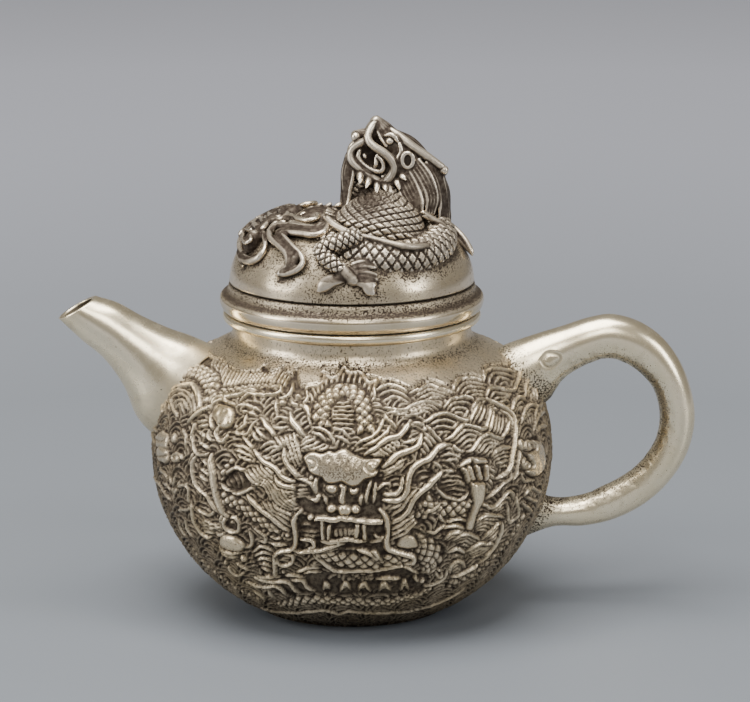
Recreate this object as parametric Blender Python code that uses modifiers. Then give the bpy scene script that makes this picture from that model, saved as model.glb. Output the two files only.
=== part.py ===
"""Silver teapot with a dragon on its lid.

Two rigid bodies: the pot (shell, base plate, neck ring, spout, strainer, handle) and the loose lid
(dome, flange, bezel and the castings of the dragon).  Sizes below are in millimetres and become
metres through MM.  Frame: origin at the centre of the flat underside, +Z up, spout towards -X,
handle towards +X, the side with the full face of the body dragon towards -Y.
"""
import math

import bmesh
import bpy
from mathutils import Vector

MM = 0.001
GAP = 0.35              # clearance left between touching pieces
WALL = 2.0              # wall of the pot
ROUND_STEPS = 40        # facets round a turned piece
MOUTH_RADIUS = 28.4     # inside of the neck
BASE_PLATE_RADIUS = 22.0
BASE_PLATE_HEIGHT = 1.6
NECK_TOP = 75.6         # top edge of the pot's shell
RING_TOP = 78.5         # top of the neck ring, where the lid rests
FLANGE_TOP = 85.9
BEZEL_BOTTOM = 70.5
BEZEL_RADIUS = 27.5
BEZEL_WALL = 1.3
DOME_WALL = 1.8
VENT_RADIUS = 1.0
SPOUT_WALL = 1.3

# Outside of the pot as (radius, height), from the neck down to the foot.
POT_PROFILE = [
    (31.0, NECK_TOP), (31.0, 72.6), (32.6, 70.4), (36.5, 68.4), (41.5, 65.9), (46.0, 62.0),
    (50.2, 55.2), (52.3, 47.0), (52.6, 39.0), (51.0, 29.5), (47.6, 21.2), (42.6, 13.4),
    (37.0, 7.6), (31.0, 3.0), (24.8, 0.0),
]

# Outside of the lid's dome, from the axis down to its foot on the flange.
DOME_PROFILE = [
    (0.0, 104.4), (8.0, 104.0), (15.0, 103.0), (20.5, 101.4), (24.8, 99.2), (27.8, 96.4),
    (29.8, 93.2), (31.2, 89.6), (31.7, FLANGE_TOP + GAP),
]

# Spout sections: lower edge (x, z), upper edge (x, z), half width across.
SPOUT_RINGS = [
    ((-76.0, 76.0), (-66.2, 81.7), 5.2),
    ((-70.2, 70.4), (-60.6, 79.9), 6.2),
    ((-64.4, 65.4), (-54.4, 76.4), 7.2),
    ((-59.4, 58.2), (-47.6, 73.2), 8.8),
    ((-55.8, 49.6), (-40.6, 70.6), 10.8),
    ((-51.6, 40.5), (-33.0, 68.0), 12.4),
    ((-41.0, 33.0), (-25.0, 60.0), 12.0),
]

# Handle sections: outer edge (x, z), inner edge (x, z), half width across.
HANDLE_RINGS = [
    ((38.0, 70.6), (44.0, 49.0), 8.4),
    ((47.5, 72.3), (51.4, 54.4), 7.0),
    ((54.2, 73.8), (55.0, 59.8), 6.1),
    ((61.6, 76.2), (60.4, 63.4), 5.8),
    ((68.0, 77.0), (66.4, 65.3), 5.6),
    ((75.6, 74.6), (71.4, 63.8), 5.4),
    ((82.2, 69.2), (75.6, 60.7), 5.2),
    ((87.0, 60.9), (78.7, 56.4), 5.1),
    ((89.4, 50.6), (80.1, 49.8), 5.0),
    ((87.9, 41.0), (79.0, 43.4), 4.9),
    ((83.2, 32.7), (75.8, 38.2), 4.8),
    ((76.6, 26.4), (71.7, 34.4), 4.7),
    ((68.6, 22.2), (66.0, 31.2), 4.6),
    ((60.5, 20.4), (60.0, 28.6), 4.4),
    ((52.6, 20.2), (52.8, 28.0), 4.7),
    ((44.0, 17.0), (45.0, 31.0), 6.2),
]

SILVER = {
    "pot": (0.60, 0.56, 0.47, 0.34),
    "plain": (0.66, 0.62, 0.54, 0.24),
    "lid": (0.62, 0.58, 0.50, 0.28),
    "dragon": (0.55, 0.50, 0.42, 0.36),
    "inside": (0.42, 0.39, 0.33, 0.45),
}


# ---------------------------------------------------------------- scene and materials

def clear_scene():
    for obj in list(bpy.data.objects):
        bpy.data.objects.remove(obj, do_unlink=True)


def collection(name):
    group = bpy.data.collections.new(name)
    bpy.context.scene.collection.children.link(group)
    return group


def silver(name, finish):
    red, green, blue, roughness = SILVER[finish]
    material = bpy.data.materials.new(name)
    material.use_nodes = True
    shader = material.node_tree.nodes["Principled BSDF"]
    shader.inputs["Base Color"].default_value = (red, green, blue, 1.0)
    shader.inputs["Metallic"].default_value = 1.0
    shader.inputs["Roughness"].default_value = roughness
    return material


def add_object(name, mesh, group):
    obj = bpy.data.objects.new(name, mesh)
    group.objects.link(obj)
    return obj


def set_as_cutter(obj):
    obj.display_type = "WIRE"
    obj.hide_render = True


def baked_mesh(obj, name):
    """The object's mesh with its modifiers applied."""
    depsgraph = bpy.context.evaluated_depsgraph_get()
    return bpy.data.meshes.new_from_object(obj.evaluated_get(depsgraph), depsgraph=depsgraph)


def bake(obj):
    """Replace the object's mesh with its evaluated one and drop the modifiers."""
    mesh = baked_mesh(obj, obj.name)
    mesh.name = obj.name
    obj.modifiers.clear()
    obj.data = mesh


# ---------------------------------------------------------------- shape tools

def catmull(points, per_span):
    """Points of a Catmull-Rom curve through equal-length tuples, per_span steps a span."""
    result = []
    last = len(points) - 1
    for index in range(last):
        p0 = points[max(index - 1, 0)]
        p1 = points[index]
        p2 = points[index + 1]
        p3 = points[min(index + 2, last)]
        for step in range(per_span):
            t = step / per_span
            result.append(tuple(
                0.5 * (2 * b + (c - a) * t + (2 * a - 5 * b + 4 * c - d) * t * t
                       + (3 * b - a - 3 * c + d) * t ** 3)
                for a, b, c, d in zip(p0, p1, p2, p3)))
    result.append(tuple(points[-1]))
    return result


def offset_profile(profile, distance):
    """The profile moved along its outward normal; positive is outwards."""
    moved = []
    for index, (radius, height) in enumerate(profile):
        before = profile[max(index - 1, 0)]
        after = profile[min(index + 1, len(profile) - 1)]
        tangent = Vector((after[0] - before[0], after[1] - before[1])).normalized()
        moved.append((max(radius - tangent.y * distance, 0.0), height + tangent.x * distance))
    return moved


def turned(name, outline, group, closed=True, steps=ROUND_STEPS):
    """Turn an outline about Z; it runs down its outer side, and an open one ends on the axis."""
    mesh = bpy.data.meshes.new(name)
    corners = [(radius * MM, 0.0, height * MM) for radius, height in outline]
    edges = [(index, index + 1) for index in range(len(corners) - 1)]
    if closed:
        edges.append((len(corners) - 1, 0))
    mesh.from_pydata(corners, edges, [])
    obj = add_object(name, mesh, group)
    screw = obj.modifiers.new("turn", "SCREW")
    screw.axis = "Z"
    screw.angle = 2 * math.pi
    screw.steps = steps
    screw.render_steps = steps
    screw.use_merge_vertices = True
    screw.merge_threshold = 0.00001
    bake(obj)
    return obj


def loft(name, rings, group):
    """A closed solid through rings of equal length, capped at both ends."""
    shape = bmesh.new()
    grid = [[shape.verts.new(Vector(point) * MM) for point in ring] for ring in rings]
    count = len(grid[0])
    for ring, following in zip(grid, grid[1:]):
        for index in range(count):
            after = (index + 1) % count
            shape.faces.new((ring[index], ring[after], following[after], following[index]))
    shape.faces.new(list(reversed(grid[0])))
    shape.faces.new(grid[-1])
    bmesh.ops.recalc_face_normals(shape, faces=shape.faces)
    mesh = bpy.data.meshes.new(name)
    shape.to_mesh(mesh)
    shape.free()
    return add_object(name, mesh, group)


def section(edge_a, edge_b, half_width, inset, sides):
    """An oval ring across the XZ plane between two edge points."""
    centre = Vector(((edge_a[0] + edge_b[0]) / 2, 0.0, (edge_a[1] + edge_b[1]) / 2))
    arm = Vector((edge_a[0], 0.0, edge_a[1])) - centre
    arm = arm.normalized() * (arm.length - inset)
    side = Vector((0.0, half_width - inset, 0.0))
    turns = [2 * math.pi * index / sides for index in range(sides)]
    return [centre + arm * math.cos(turn) + side * math.sin(turn) for turn in turns]


def swept(name, rings, group, inset=0.0, per_span=2, sides=16):
    """A loft through (edge, edge, half width) sections, smoothed between them."""
    flat = [(*edge_a, *edge_b, width) for edge_a, edge_b, width in rings]
    smooth = catmull(flat, per_span)
    return loft(name, [section(row[:2], row[2:4], row[4], inset, sides) for row in smooth], group)


def tube(name, stations, group, per_span=2, sides=10, flatten=1.0):
    """A rounded tube along (x, y, z, radius) stations; flatten squeezes it across the path."""
    rows = catmull(stations, per_span)
    centres = [Vector(row[:3]) for row in rows]
    rings = []
    side = None
    for index, row in enumerate(rows):
        before = centres[max(index - 1, 0)]
        after = centres[min(index + 1, len(centres) - 1)]
        along = (after - before).normalized()
        if side is None:
            side = along.cross(Vector((0.0, 0.0, 1.0)) if abs(along.z) < 0.9 else Vector((0, 1, 0)))
        side = (side - along * side.dot(along)).normalized()
        over = side.cross(along)
        turns = [2 * math.pi * count / sides for count in range(sides)]
        rings.append([centres[index] + side * row[3] * math.cos(turn)
                      + over * row[3] * flatten * math.sin(turn) for turn in turns])
    return loft(name, rings, group)


def egg(name, centre, radii, group, segments=16, rings=10):
    """An ellipsoid, for soft lumps."""
    shape = bmesh.new()
    bmesh.ops.create_uvsphere(shape, u_segments=segments, v_segments=rings, radius=1.0)
    for vertex in shape.verts:
        vertex.co = Vector([(c + v * r) * MM for c, v, r in zip(centre, vertex.co, radii)])
    mesh = bpy.data.meshes.new(name)
    shape.to_mesh(mesh)
    shape.free()
    return add_object(name, mesh, group)


def boolean(obj, other, operation):
    step = obj.modifiers.new(operation.lower(), "BOOLEAN")
    step.operation = operation
    step.solver = "EXACT"
    step.use_self = True
    step.object = other
    bake(obj)


def grown(obj, distance, group):
    """A cutter a little larger than the object all round."""
    cutter = add_object(obj.name + "_clearance", baked_mesh(obj, obj.name), group)
    swell = cutter.modifiers.new("swell", "DISPLACE")
    swell.mid_level = 0.0
    swell.strength = distance * MM
    bake(cutter)
    set_as_cutter(cutter)
    return cutter


def clear_of(obj, neighbours, cutters):
    """Cut the object back so that it keeps the clearance to its neighbours."""
    for neighbour in neighbours:
        boolean(obj, grown(neighbour, GAP, cutters), "DIFFERENCE")


def joined(obj, others):
    """Union of an object with others, which are used up."""
    for other in others:
        boolean(obj, other, "UNION")
        bpy.data.objects.remove(other, do_unlink=True)
    return obj


def finish(obj, material):
    shape = bmesh.new()
    shape.from_mesh(obj.data)
    bmesh.ops.remove_doubles(shape, verts=shape.verts, dist=0.00002)
    bmesh.ops.dissolve_degenerate(shape, edges=shape.edges, dist=0.00001)
    bmesh.ops.triangulate(shape, faces=[face for face in shape.faces if len(face.verts) > 4])
    shape.to_mesh(obj.data)
    shape.free()
    obj.data.materials.clear()
    obj.data.materials.append(material)
    obj.data.shade_smooth()
    obj.data.set_sharp_from_angle(angle=math.radians(40))


def dome_height(radius):
    """Height of the dome's outside at a radius."""
    for (inner, high), (outer, low) in zip(DOME_PROFILE, DOME_PROFILE[1:]):
        if radius <= outer:
            return high + (low - high) * (radius - inner) / (outer - inner)
    return DOME_PROFILE[-1][1]


def on_dome(angle, radius, lift, size):
    """A tube station lying on the dome at an angle in degrees, raised by lift."""
    turn = math.radians(angle)
    return (radius * math.cos(turn), radius * math.sin(turn), dome_height(radius) + lift, size)


# ---------------------------------------------------------------- pot

def pot_outline(steps):
    return catmull(POT_PROFILE, steps)


def solid_pot(name, distance, group):
    """The pot's outside as one solid, moved outwards by distance, for cutting."""
    outline = offset_profile(pot_outline(1), distance)
    outline = [(0.0, outline[0][1])] + outline + [(0.0, outline[-1][1])]
    obj = turned(name, outline, group, closed=False)
    set_as_cutter(obj)
    return obj


def make_body_shell(parts, spout_bore):
    outer = pot_outline(1)
    inner = offset_profile(outer, -WALL)
    inner[0] = (MOUTH_RADIUS, NECK_TOP)
    inner[1] = (MOUTH_RADIUS, 71.6)
    inner = [point for point in inner if point[1] > BASE_PLATE_HEIGHT + GAP]
    foot = [(BASE_PLATE_RADIUS + GAP, 0.0), (BASE_PLATE_RADIUS + GAP, BASE_PLATE_HEIGHT + GAP)]
    shell = turned("body_shell", outer + foot + list(reversed(inner)), parts)
    boolean(shell, spout_bore, "DIFFERENCE")
    return shell


def make_base_plate(parts):
    edge = 0.4
    outline = [
        (0.0, BASE_PLATE_HEIGHT), (BASE_PLATE_RADIUS - edge, BASE_PLATE_HEIGHT),
        (BASE_PLATE_RADIUS, BASE_PLATE_HEIGHT - edge), (BASE_PLATE_RADIUS, edge),
        (BASE_PLATE_RADIUS - edge, 0.0), (0.0, 0.0),
    ]
    return turned("base_plate", outline, parts, closed=False)


def make_neck_ring(parts):
    low = NECK_TOP + GAP
    outline = [
        (32.6, RING_TOP), (33.3, RING_TOP - 0.6), (33.4, low + 0.9), (32.6, low),
        (MOUTH_RADIUS, low), (MOUTH_RADIUS, RING_TOP),
    ]
    return turned("neck_ring", outline, parts)


def make_spout(parts, bore, pot_clearance):
    spout = swept("spout", SPOUT_RINGS, parts)
    boolean(spout, bore, "DIFFERENCE")
    boolean(spout, pot_clearance, "DIFFERENCE")
    return spout


def make_spout_bore(cutters):
    """The water way: the spout's own sections less its wall, run on past both ends."""
    first = SPOUT_RINGS[0]
    second = SPOUT_RINGS[1]
    ahead = tuple(
        (a[0] * 1.8 - b[0] * 0.8, a[1] * 1.8 - b[1] * 0.8) for a, b in zip(first[:2], second[:2]))
    bore = swept("spout_bore", [(*ahead, first[2])] + SPOUT_RINGS, cutters, inset=SPOUT_WALL,
                 sides=14)
    set_as_cutter(bore)
    return bore


def make_strainer(parts, cutters):
    """A pierced plate that follows the wall's inside behind the spout."""
    thick = 1.0
    outer = offset_profile(pot_outline(1), -WALL - GAP)[3:10]
    inner = offset_profile(pot_outline(1), -WALL - GAP - thick)[3:10]
    plate = turned("spout_strainer", outer + list(reversed(inner)), parts, steps=72)
    centre = Vector((-46.0, 0.0, 54.0))
    axis = Vector((-0.86, 0.0, 0.5)).normalized()
    limit = rod("strainer_edge", centre, axis, 15.6, 30.0, cutters, sides=28)
    boolean(plate, limit, "INTERSECT")
    across = axis.cross(Vector((0.0, 1.0, 0.0)))
    places = [(0.0, 0.0)]
    for count, radius in ((6, 4.2), (12, 8.4)):
        for index in range(count):
            turn = 2 * math.pi * index / count
            places.append((radius * math.cos(turn), radius * math.sin(turn)))
    for index, (side, over) in enumerate(places):
        middle = centre + Vector((0.0, side, 0.0)) + across * over
        boolean(plate, rod(f"strainer_hole_{index}", middle, axis, 1.1, 30.0, cutters, sides=8),
                "DIFFERENCE")
    return plate


def rod(name, centre, axis, radius, length, group, sides=16):
    """A straight cylinder for cutting."""
    shape = bmesh.new()
    bmesh.ops.create_cone(shape, cap_ends=True, segments=sides, radius1=radius * MM,
                          radius2=radius * MM, depth=length * MM)
    turn = Vector((0.0, 0.0, 1.0)).rotation_difference(axis).to_matrix()
    for vertex in shape.verts:
        vertex.co = turn @ vertex.co + centre * MM
    mesh = bpy.data.meshes.new(name)
    shape.to_mesh(mesh)
    shape.free()
    obj = add_object(name, mesh, group)
    set_as_cutter(obj)
    return obj


def make_handle(parts, pot_clearance):
    handle = swept("handle", HANDLE_RINGS, parts, sides=14)
    boolean(handle, pot_clearance, "DIFFERENCE")
    return handle


# ---------------------------------------------------------------- lid

def make_lid_dome(parts, cutters):
    outer = DOME_PROFILE
    inner = offset_profile(outer, -DOME_WALL)
    inner[0] = (0.0, outer[0][1] - DOME_WALL)
    inner[-1] = (outer[-1][0] - DOME_WALL, outer[-1][1])
    dome = turned("lid_dome", outer + list(reversed(inner)), parts, closed=False)
    vent = rod("vent", Vector((0.0, 25.5, 98.0)), Vector((0.0, 0.6, 0.8)), VENT_RADIUS, 12.0,
               cutters, sides=12)
    boolean(dome, vent, "DIFFERENCE")
    return dome


def make_lid_flange(parts):
    low = RING_TOP + GAP
    inside = BEZEL_RADIUS + GAP
    outline = [
        (31.6, FLANGE_TOP), (31.9, 85.2), (32.2, 84.2), (33.0, 83.4), (33.9, 82.8), (34.2, 81.4),
        (33.9, 80.0), (33.2, low), (inside, low), (inside, FLANGE_TOP),
    ]
    return turned("lid_flange", outline, parts)


def make_lid_bezel(parts):
    top = FLANGE_TOP - 0.4
    low = BEZEL_BOTTOM
    inside = BEZEL_RADIUS - BEZEL_WALL
    outline = [
        (BEZEL_RADIUS, top), (BEZEL_RADIUS, low + 1.2), (BEZEL_RADIUS - 0.5, low), (inside, low),
        (inside, top),
    ]
    return turned("lid_bezel", outline, parts)


def solid_dome(group):
    """The lid's outside with its clearance, for seating the castings."""
    outline = [(radius + (GAP if radius > 0 else 0), height + GAP)
               for radius, height in DOME_PROFILE]
    outline += [(32.4, 80.0), (0.0, 80.0)]
    obj = turned("dome_clearance", outline, group, closed=False)
    set_as_cutter(obj)
    return obj


# ---------------------------------------------------------------- dragon

def make_coil(parts):
    stations = [
        (-10.0, -15.0, 101.0, 3.2), (-6.0, -20.0, 99.8, 4.4), (1.0, -24.0, 98.2, 5.0),
        (10.0, -23.4, 97.7, 5.2), (17.4, -18.6, 97.4, 5.2), (21.4, -11.0, 98.2, 5.0),
        (21.0, -3.0, 100.2, 5.0), (15.0, 3.5, 102.4, 5.0), (7.0, 5.5, 104.6, 5.0),
    ]
    return tube("dragon_coil", stations, parts, per_span=2, sides=12)


def make_neck(parts):
    stations = [
        (8.0, -6.5, 101.6, 12.5), (8.6, -4.0, 105.0, 10.0), (9.0, -1.6, 109.0, 7.4),
        (9.6, -0.4, 114.0, 6.2),
    ]
    return tube("dragon_neck", stations, parts, per_span=2, sides=14, flatten=0.82)


def make_head(parts):
    skull = tube("dragon_head", [
        (19.0, 0.0, 114.6, 3.4), (16.0, 0.0, 117.6, 5.4), (12.4, 0.0, 120.6, 5.6),
        (8.6, 0.0, 124.6, 4.2), (6.2, 0.0, 129.2, 1.4)], parts)
    jaw = tube("jaw", [
        (12.6, 0.0, 115.2, 4.0), (8.0, 0.0, 113.8, 3.6), (3.6, 0.0, 115.4, 3.0),
        (-0.4, 0.0, 119.8, 1.8)], parts)
    nose = tube("nose", [
        (8.4, 0.0, 123.6, 3.4), (4.4, 0.0, 124.2, 2.4), (0.8, 0.0, 123.8, 1.5)], parts)
    return joined(skull, [jaw, nose])


def make_mane(parts):
    stations = [
        (17.6, 0.6, 116.4, 3.4), (18.6, 0.6, 111.4, 5.2), (18.4, 0.8, 106.0, 6.0),
        (18.6, 1.0, 101.0, 5.8),
    ]
    return tube("dragon_mane", stations, parts, sides=12, flatten=0.72)


def make_beard(parts):
    stations = [
        (1.0, 0.0, 119.6, 1.2), (-0.4, 0.0, 115.0, 2.4), (-0.8, 0.0, 110.0, 2.5),
        (-2.0, 0.0, 105.2, 2.2),
    ]
    return tube("dragon_beard", stations, parts, flatten=1.5)


def make_horn(name, side, parts):
    stations = [
        (11.4, 3.6 * side, 124.6, 1.5), (16.0, 4.8 * side, 121.6, 1.6),
        (20.6, 5.0 * side, 118.6, 1.5), (24.4, 4.6 * side, 115.6, 1.1),
    ]
    return tube(name, stations, parts, sides=8)


def make_leg(name, parts, turn):
    """A bent leg with a two-toed foot on the dome, turned about Z from the front."""
    leg = tube(name, [
        on_dome(-84 + turn, 22.5, 2.0, 3.2), on_dome(-108 + turn, 26.2, 1.4, 3.3),
        on_dome(-101 + turn, 28.6, 0.6, 2.6), on_dome(-93 + turn, 30.4, 0.0, 1.9)], parts)
    foot = tube("foot", [
        on_dome(-106 + turn, 31.3, 0.0, 1.3), on_dome(-100 + turn, 30.9, 0.2, 2.1),
        on_dome(-93 + turn, 30.6, 0.6, 2.0), on_dome(-86 + turn, 30.9, 0.2, 2.1),
        on_dome(-80 + turn, 31.3, 0.0, 1.3)], parts)
    return joined(leg, [foot])


def make_haunch(parts):
    return egg("dragon_haunch", (-9.6, -4.0, 103.6), (7.4, 6.4, 3.8), parts)


def make_tail_tip(parts):
    stations = [
        (21.0, 6.0, 101.4, 2.6), (25.6, 4.0, 99.4, 2.6), (29.0, 1.0, 97.0, 1.9),
        (31.4, -1.0, 94.8, 0.8),
    ]
    return tube("tail_tip", stations, parts, flatten=0.7)


def make_ribbon(parts):
    stations = [
        on_dome(-131, 17.0, 1.6, 1.4), on_dome(-136, 21.0, 1.4, 1.7), on_dome(-143, 25.6, 1.2, 1.7),
        on_dome(-135, 27.4, 0.8, 1.7), on_dome(-122, 28.2, 0.8, 1.8), on_dome(-118, 29.4, 0.4, 1.7),
        on_dome(-124, 30.4, 0.2, 1.0),
    ]
    return tube("ribbon_scroll", stations, parts, sides=8)


def make_cloud(parts):
    stations = [
        on_dome(-176, 11.0, 0.8, 3.2), on_dome(-170, 17.0, 0.8, 3.6), on_dome(-172, 22.5, 0.4, 3.4),
        on_dome(166, 25.0, 0.4, 3.2), on_dome(146, 24.0, 0.4, 2.6), on_dome(128, 21.0, 0.2, 1.8),
    ]
    return tube("cloud_scroll", stations, parts)


def make_pearl(parts):
    x, y, z, size = on_dome(-161, 27.8, 0.2, 0.0)
    return egg("flame_pearl", (x, y, z + size), (3.6, 3.6, 4.6), parts, segments=14, rings=8)


def make_dragon(parts, cutters):
    dome = solid_dome(cutters)
    coil = make_coil(parts)
    neck = make_neck(parts)
    head = make_head(parts)
    mane = make_mane(parts)
    beard = make_beard(parts)
    horns = [make_horn("horn_near", -1, parts), make_horn("horn_far", 1, parts)]
    leg = make_leg("foreleg_near", parts, 0)
    far_leg = make_leg("hind_leg_far", parts, 180)
    haunch = make_haunch(parts)
    tail = make_tail_tip(parts)
    ribbon = make_ribbon(parts)
    cloud = make_cloud(parts)
    pearl = make_pearl(parts)
    pieces = [coil, neck, head, mane, beard, *horns, leg, far_leg, haunch, tail, ribbon, cloud,
              pearl]
    for piece in pieces:
        boolean(piece, dome, "DIFFERENCE")
    clear_of(neck, [coil], cutters)
    clear_of(head, [neck], cutters)
    clear_of(mane, [neck, head, coil], cutters)
    clear_of(beard, [neck, head], cutters)
    for horn in horns:
        clear_of(horn, [head, mane], cutters)
    clear_of(leg, [coil], cutters)
    clear_of(haunch, [coil, neck, beard], cutters)
    clear_of(tail, [coil, mane], cutters)
    clear_of(ribbon, [coil, haunch, leg], cutters)
    clear_of(cloud, [haunch, ribbon, coil], cutters)
    clear_of(pearl, [cloud, ribbon], cutters)
    clear_of(far_leg, [cloud, tail, mane], cutters)
    for piece in pieces:
        finish(piece, silver(piece.name, "dragon"))


def main():
    clear_scene()
    parts = collection("teapot")
    cutters = collection("cutters")
    bore = make_spout_bore(cutters)
    pot_clearance = solid_pot("pot_clearance", GAP, cutters)
    finish(make_body_shell(parts, bore), silver("body_shell", "pot"))
    finish(make_base_plate(parts), silver("base_plate", "plain"))
    finish(make_neck_ring(parts), silver("neck_ring", "plain"))
    finish(make_spout(parts, bore, pot_clearance), silver("spout", "plain"))
    finish(make_strainer(parts, cutters), silver("spout_strainer", "inside"))
    finish(make_handle(parts, pot_clearance), silver("handle", "plain"))
    finish(make_lid_dome(parts, cutters), silver("lid_dome", "lid"))
    finish(make_lid_flange(parts), silver("lid_flange", "lid"))
    finish(make_lid_bezel(parts), silver("lid_bezel", "inside"))
    make_dragon(parts, cutters)


main()
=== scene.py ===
"""Looks of the silver teapot with a dragon on its lid.  Lengths are in millimetres until a mesh is
made.  The relief of the pot is drawn in the front elevation: x to the right and h up, as seen from
the camera; each stroke is laid on the pot's surface with its real width."""
import math
import bpy
import numpy as np
from mathutils import Matrix, Vector, kdtree, noise


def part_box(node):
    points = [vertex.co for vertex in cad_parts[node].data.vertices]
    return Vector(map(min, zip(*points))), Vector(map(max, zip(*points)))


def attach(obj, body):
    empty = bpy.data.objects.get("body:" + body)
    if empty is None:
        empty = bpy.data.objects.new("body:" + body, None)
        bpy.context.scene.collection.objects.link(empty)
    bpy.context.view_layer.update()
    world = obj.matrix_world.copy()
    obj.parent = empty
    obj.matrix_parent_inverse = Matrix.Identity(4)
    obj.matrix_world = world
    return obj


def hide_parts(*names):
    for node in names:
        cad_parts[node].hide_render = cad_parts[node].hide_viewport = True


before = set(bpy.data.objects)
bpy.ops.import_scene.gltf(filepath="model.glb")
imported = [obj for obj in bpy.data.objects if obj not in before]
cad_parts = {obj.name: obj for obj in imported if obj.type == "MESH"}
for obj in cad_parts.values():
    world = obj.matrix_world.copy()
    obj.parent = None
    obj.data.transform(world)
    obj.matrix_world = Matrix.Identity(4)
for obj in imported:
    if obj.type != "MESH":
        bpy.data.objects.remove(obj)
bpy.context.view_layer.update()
MM = 0.001
TAU = 2 * math.pi

# ---------------------------------------------------------------- camera, also used to lay strokes
CAM_TILT = math.radians(12.8)    # how far the camera looks down
CAM_FAR = 1100.0                 # distance from the camera to its aim
CAM_AIM = (6.0, 0.0, 67.2)
CAM_SPAN = 194.8                 # width of the view at the aim
AIM_X = 6.0                 # middle of the elevation in which strokes are drawn
AIM_H = 65.5
LOOK = np.array((0.0, math.cos(CAM_TILT), -math.sin(CAM_TILT)))
LIFT = np.array((0.0, math.sin(CAM_TILT), math.cos(CAM_TILT)))

# ---------------------------------------------------------------- shapes shared with the CAD
NECK_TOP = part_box("body_shell")[1].z / MM
RING_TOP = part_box("neck_ring")[1].z / MM
MOUTH_RADIUS = 28.4
WALL = 2.0
DOME_EDGE = 31.2            # radius inside which the dome carries castings
POT_PROFILE = [
    (24.8, 0.0), (31.0, 3.0), (37.0, 7.6), (42.6, 13.4), (47.6, 21.2), (51.0, 29.5), (52.6, 39.0),
    (52.3, 47.0), (50.2, 55.2), (46.0, 62.0), (41.5, 65.9), (36.5, 68.4), (32.6, 70.4),
    (31.0, 72.6), (31.0, NECK_TOP),
]
DOME_PROFILE = [
    (0.0, 104.4), (8.0, 104.0), (15.0, 103.0), (20.5, 101.4), (24.8, 99.2), (27.8, 96.4),
    (29.8, 93.2), (31.2, 89.6), (31.7, 86.25),
]
SPOUT_RINGS = [
    ((-76.0, 76.0), (-66.2, 81.7), 5.2), ((-70.2, 70.4), (-60.6, 79.9), 6.2),
    ((-64.4, 65.4), (-54.4, 76.4), 7.2), ((-59.4, 58.2), (-47.6, 73.2), 8.8),
    ((-55.8, 49.6), (-40.6, 70.6), 10.8), ((-49.6, 43.5), (-33.0, 66.6), 11.8),
    ((-41.0, 38.0), (-25.0, 60.0), 11.0),
]
STAMP = [(49.2, 64.6), (50.8, 66.4), (53.8, 65.9), (54.0, 64.4), (52.0, 62.9), (50.2, 63.2),
         (49.2, 64.6)]
HANDLE_RINGS = [((31.0, 64.0), (40.0, 47.0), 9.0), ((38.6, 68.4), (46.0, 50.6), 8.6),
                ((46.5, 71.4), (51.4, 54.4), 7.2), ((54.2, 73.8), (55.0, 59.8), 6.1),
                ((61.6, 76.2), (60.4, 63.4), 5.8), ((68.0, 77.0), (66.4, 65.3), 5.6),
                ((75.6, 74.6), (71.4, 63.8), 5.4), ((82.2, 69.2), (75.6, 60.7), 5.2),
                ((87.0, 60.9), (78.7, 56.4), 5.1), ((89.4, 50.6), (80.1, 49.8), 5.0),
                ((87.9, 41.0), (79.0, 43.4), 4.9), ((83.2, 32.7), (75.8, 38.2), 4.8),
                ((76.6, 26.4), (71.7, 34.4), 4.7), ((68.6, 22.2), (66.0, 31.2), 4.6),
                ((60.5, 20.4), (60.0, 28.6), 4.4), ((52.6, 20.2), (52.8, 28.0), 4.7),
                ((44.0, 17.0), (45.0, 31.0), 6.2)]


# ---------------------------------------------------------------- small tools

def smoothstep(value):
    """A soft step from 0 to 1."""
    value = np.clip(value, 0.0, 1.0)
    return value * value * (3 - 2 * value)


def catmull(points, step):
    """Dense points of a Catmull-Rom curve through rows of numbers, about step apart."""
    rows = np.array(points, float)
    if len(rows) < 2:
        return rows
    padded = np.vstack([2 * rows[0] - rows[1], rows, 2 * rows[-1] - rows[-2]])
    result = []
    for index in range(1, len(padded) - 2):
        a, b, c, d = padded[index - 1:index + 3]
        count = max(1, int(math.ceil(np.linalg.norm(c - b) / step)))
        t = (np.arange(count) / count)[:, None]
        result.append(0.5 * (2 * b + (c - a) * t + (2 * a - 5 * b + 4 * c - d) * t ** 2
                             + (3 * b - a - 3 * c + d) * t ** 3))
    result.append(rows[-1:])
    return np.vstack(result)


def evenly(points, count):
    """count points at equal steps along a polyline."""
    rows = np.array(points, float)
    lengths = np.r_[0.0, np.cumsum(np.linalg.norm(np.diff(rows, axis=0), axis=1))]
    want = np.linspace(0.0, lengths[-1], count)
    return np.column_stack([np.interp(want, lengths, rows[:, k]) for k in range(rows.shape[1])])


def mesh_piece(name, points, faces, body, material, replaced):
    """A smooth-shaded piece from points in millimetres."""
    mesh = bpy.data.meshes.new(name)
    mesh.from_pydata((np.asarray(points, float) * MM).tolist(), [], faces)
    mesh.update()
    mesh.shade_smooth()
    piece = bpy.data.objects.new(name, mesh)
    bpy.context.scene.collection.objects.link(piece)
    mesh.materials.append(material)
    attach(piece, body)
    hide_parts(*replaced)
    return piece


def set_attribute(piece, name, values):
    """A number at each point, for the materials to read."""
    layer = piece.data.attributes.new(name, "FLOAT", "POINT")
    layer.data.foreach_set("value", np.asarray(values, np.float32))


def bridge(low, high, count, flip):
    """Quads between two closed rings of points that start at these indices."""
    faces = []
    for column in range(count):
        after = (column + 1) % count
        quad = (low + column, low + after, high + after, high + column)
        faces.append(quad[::-1] if flip else quad)
    return faces


def grid_faces(rows, columns, flip=False):
    """Quads between the neighbouring rings of a grid."""
    faces = []
    for row in range(rows - 1):
        faces += bridge(row * columns, (row + 1) * columns, columns, flip)
    return faces


def chain_faces(starts, count, flip):
    """Quads that join rings one after the other, given where each starts."""
    faces = []
    for low, high in zip(starts[:-1], starts[1:]):
        faces += bridge(low, high, count, flip)
    return faces


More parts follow.
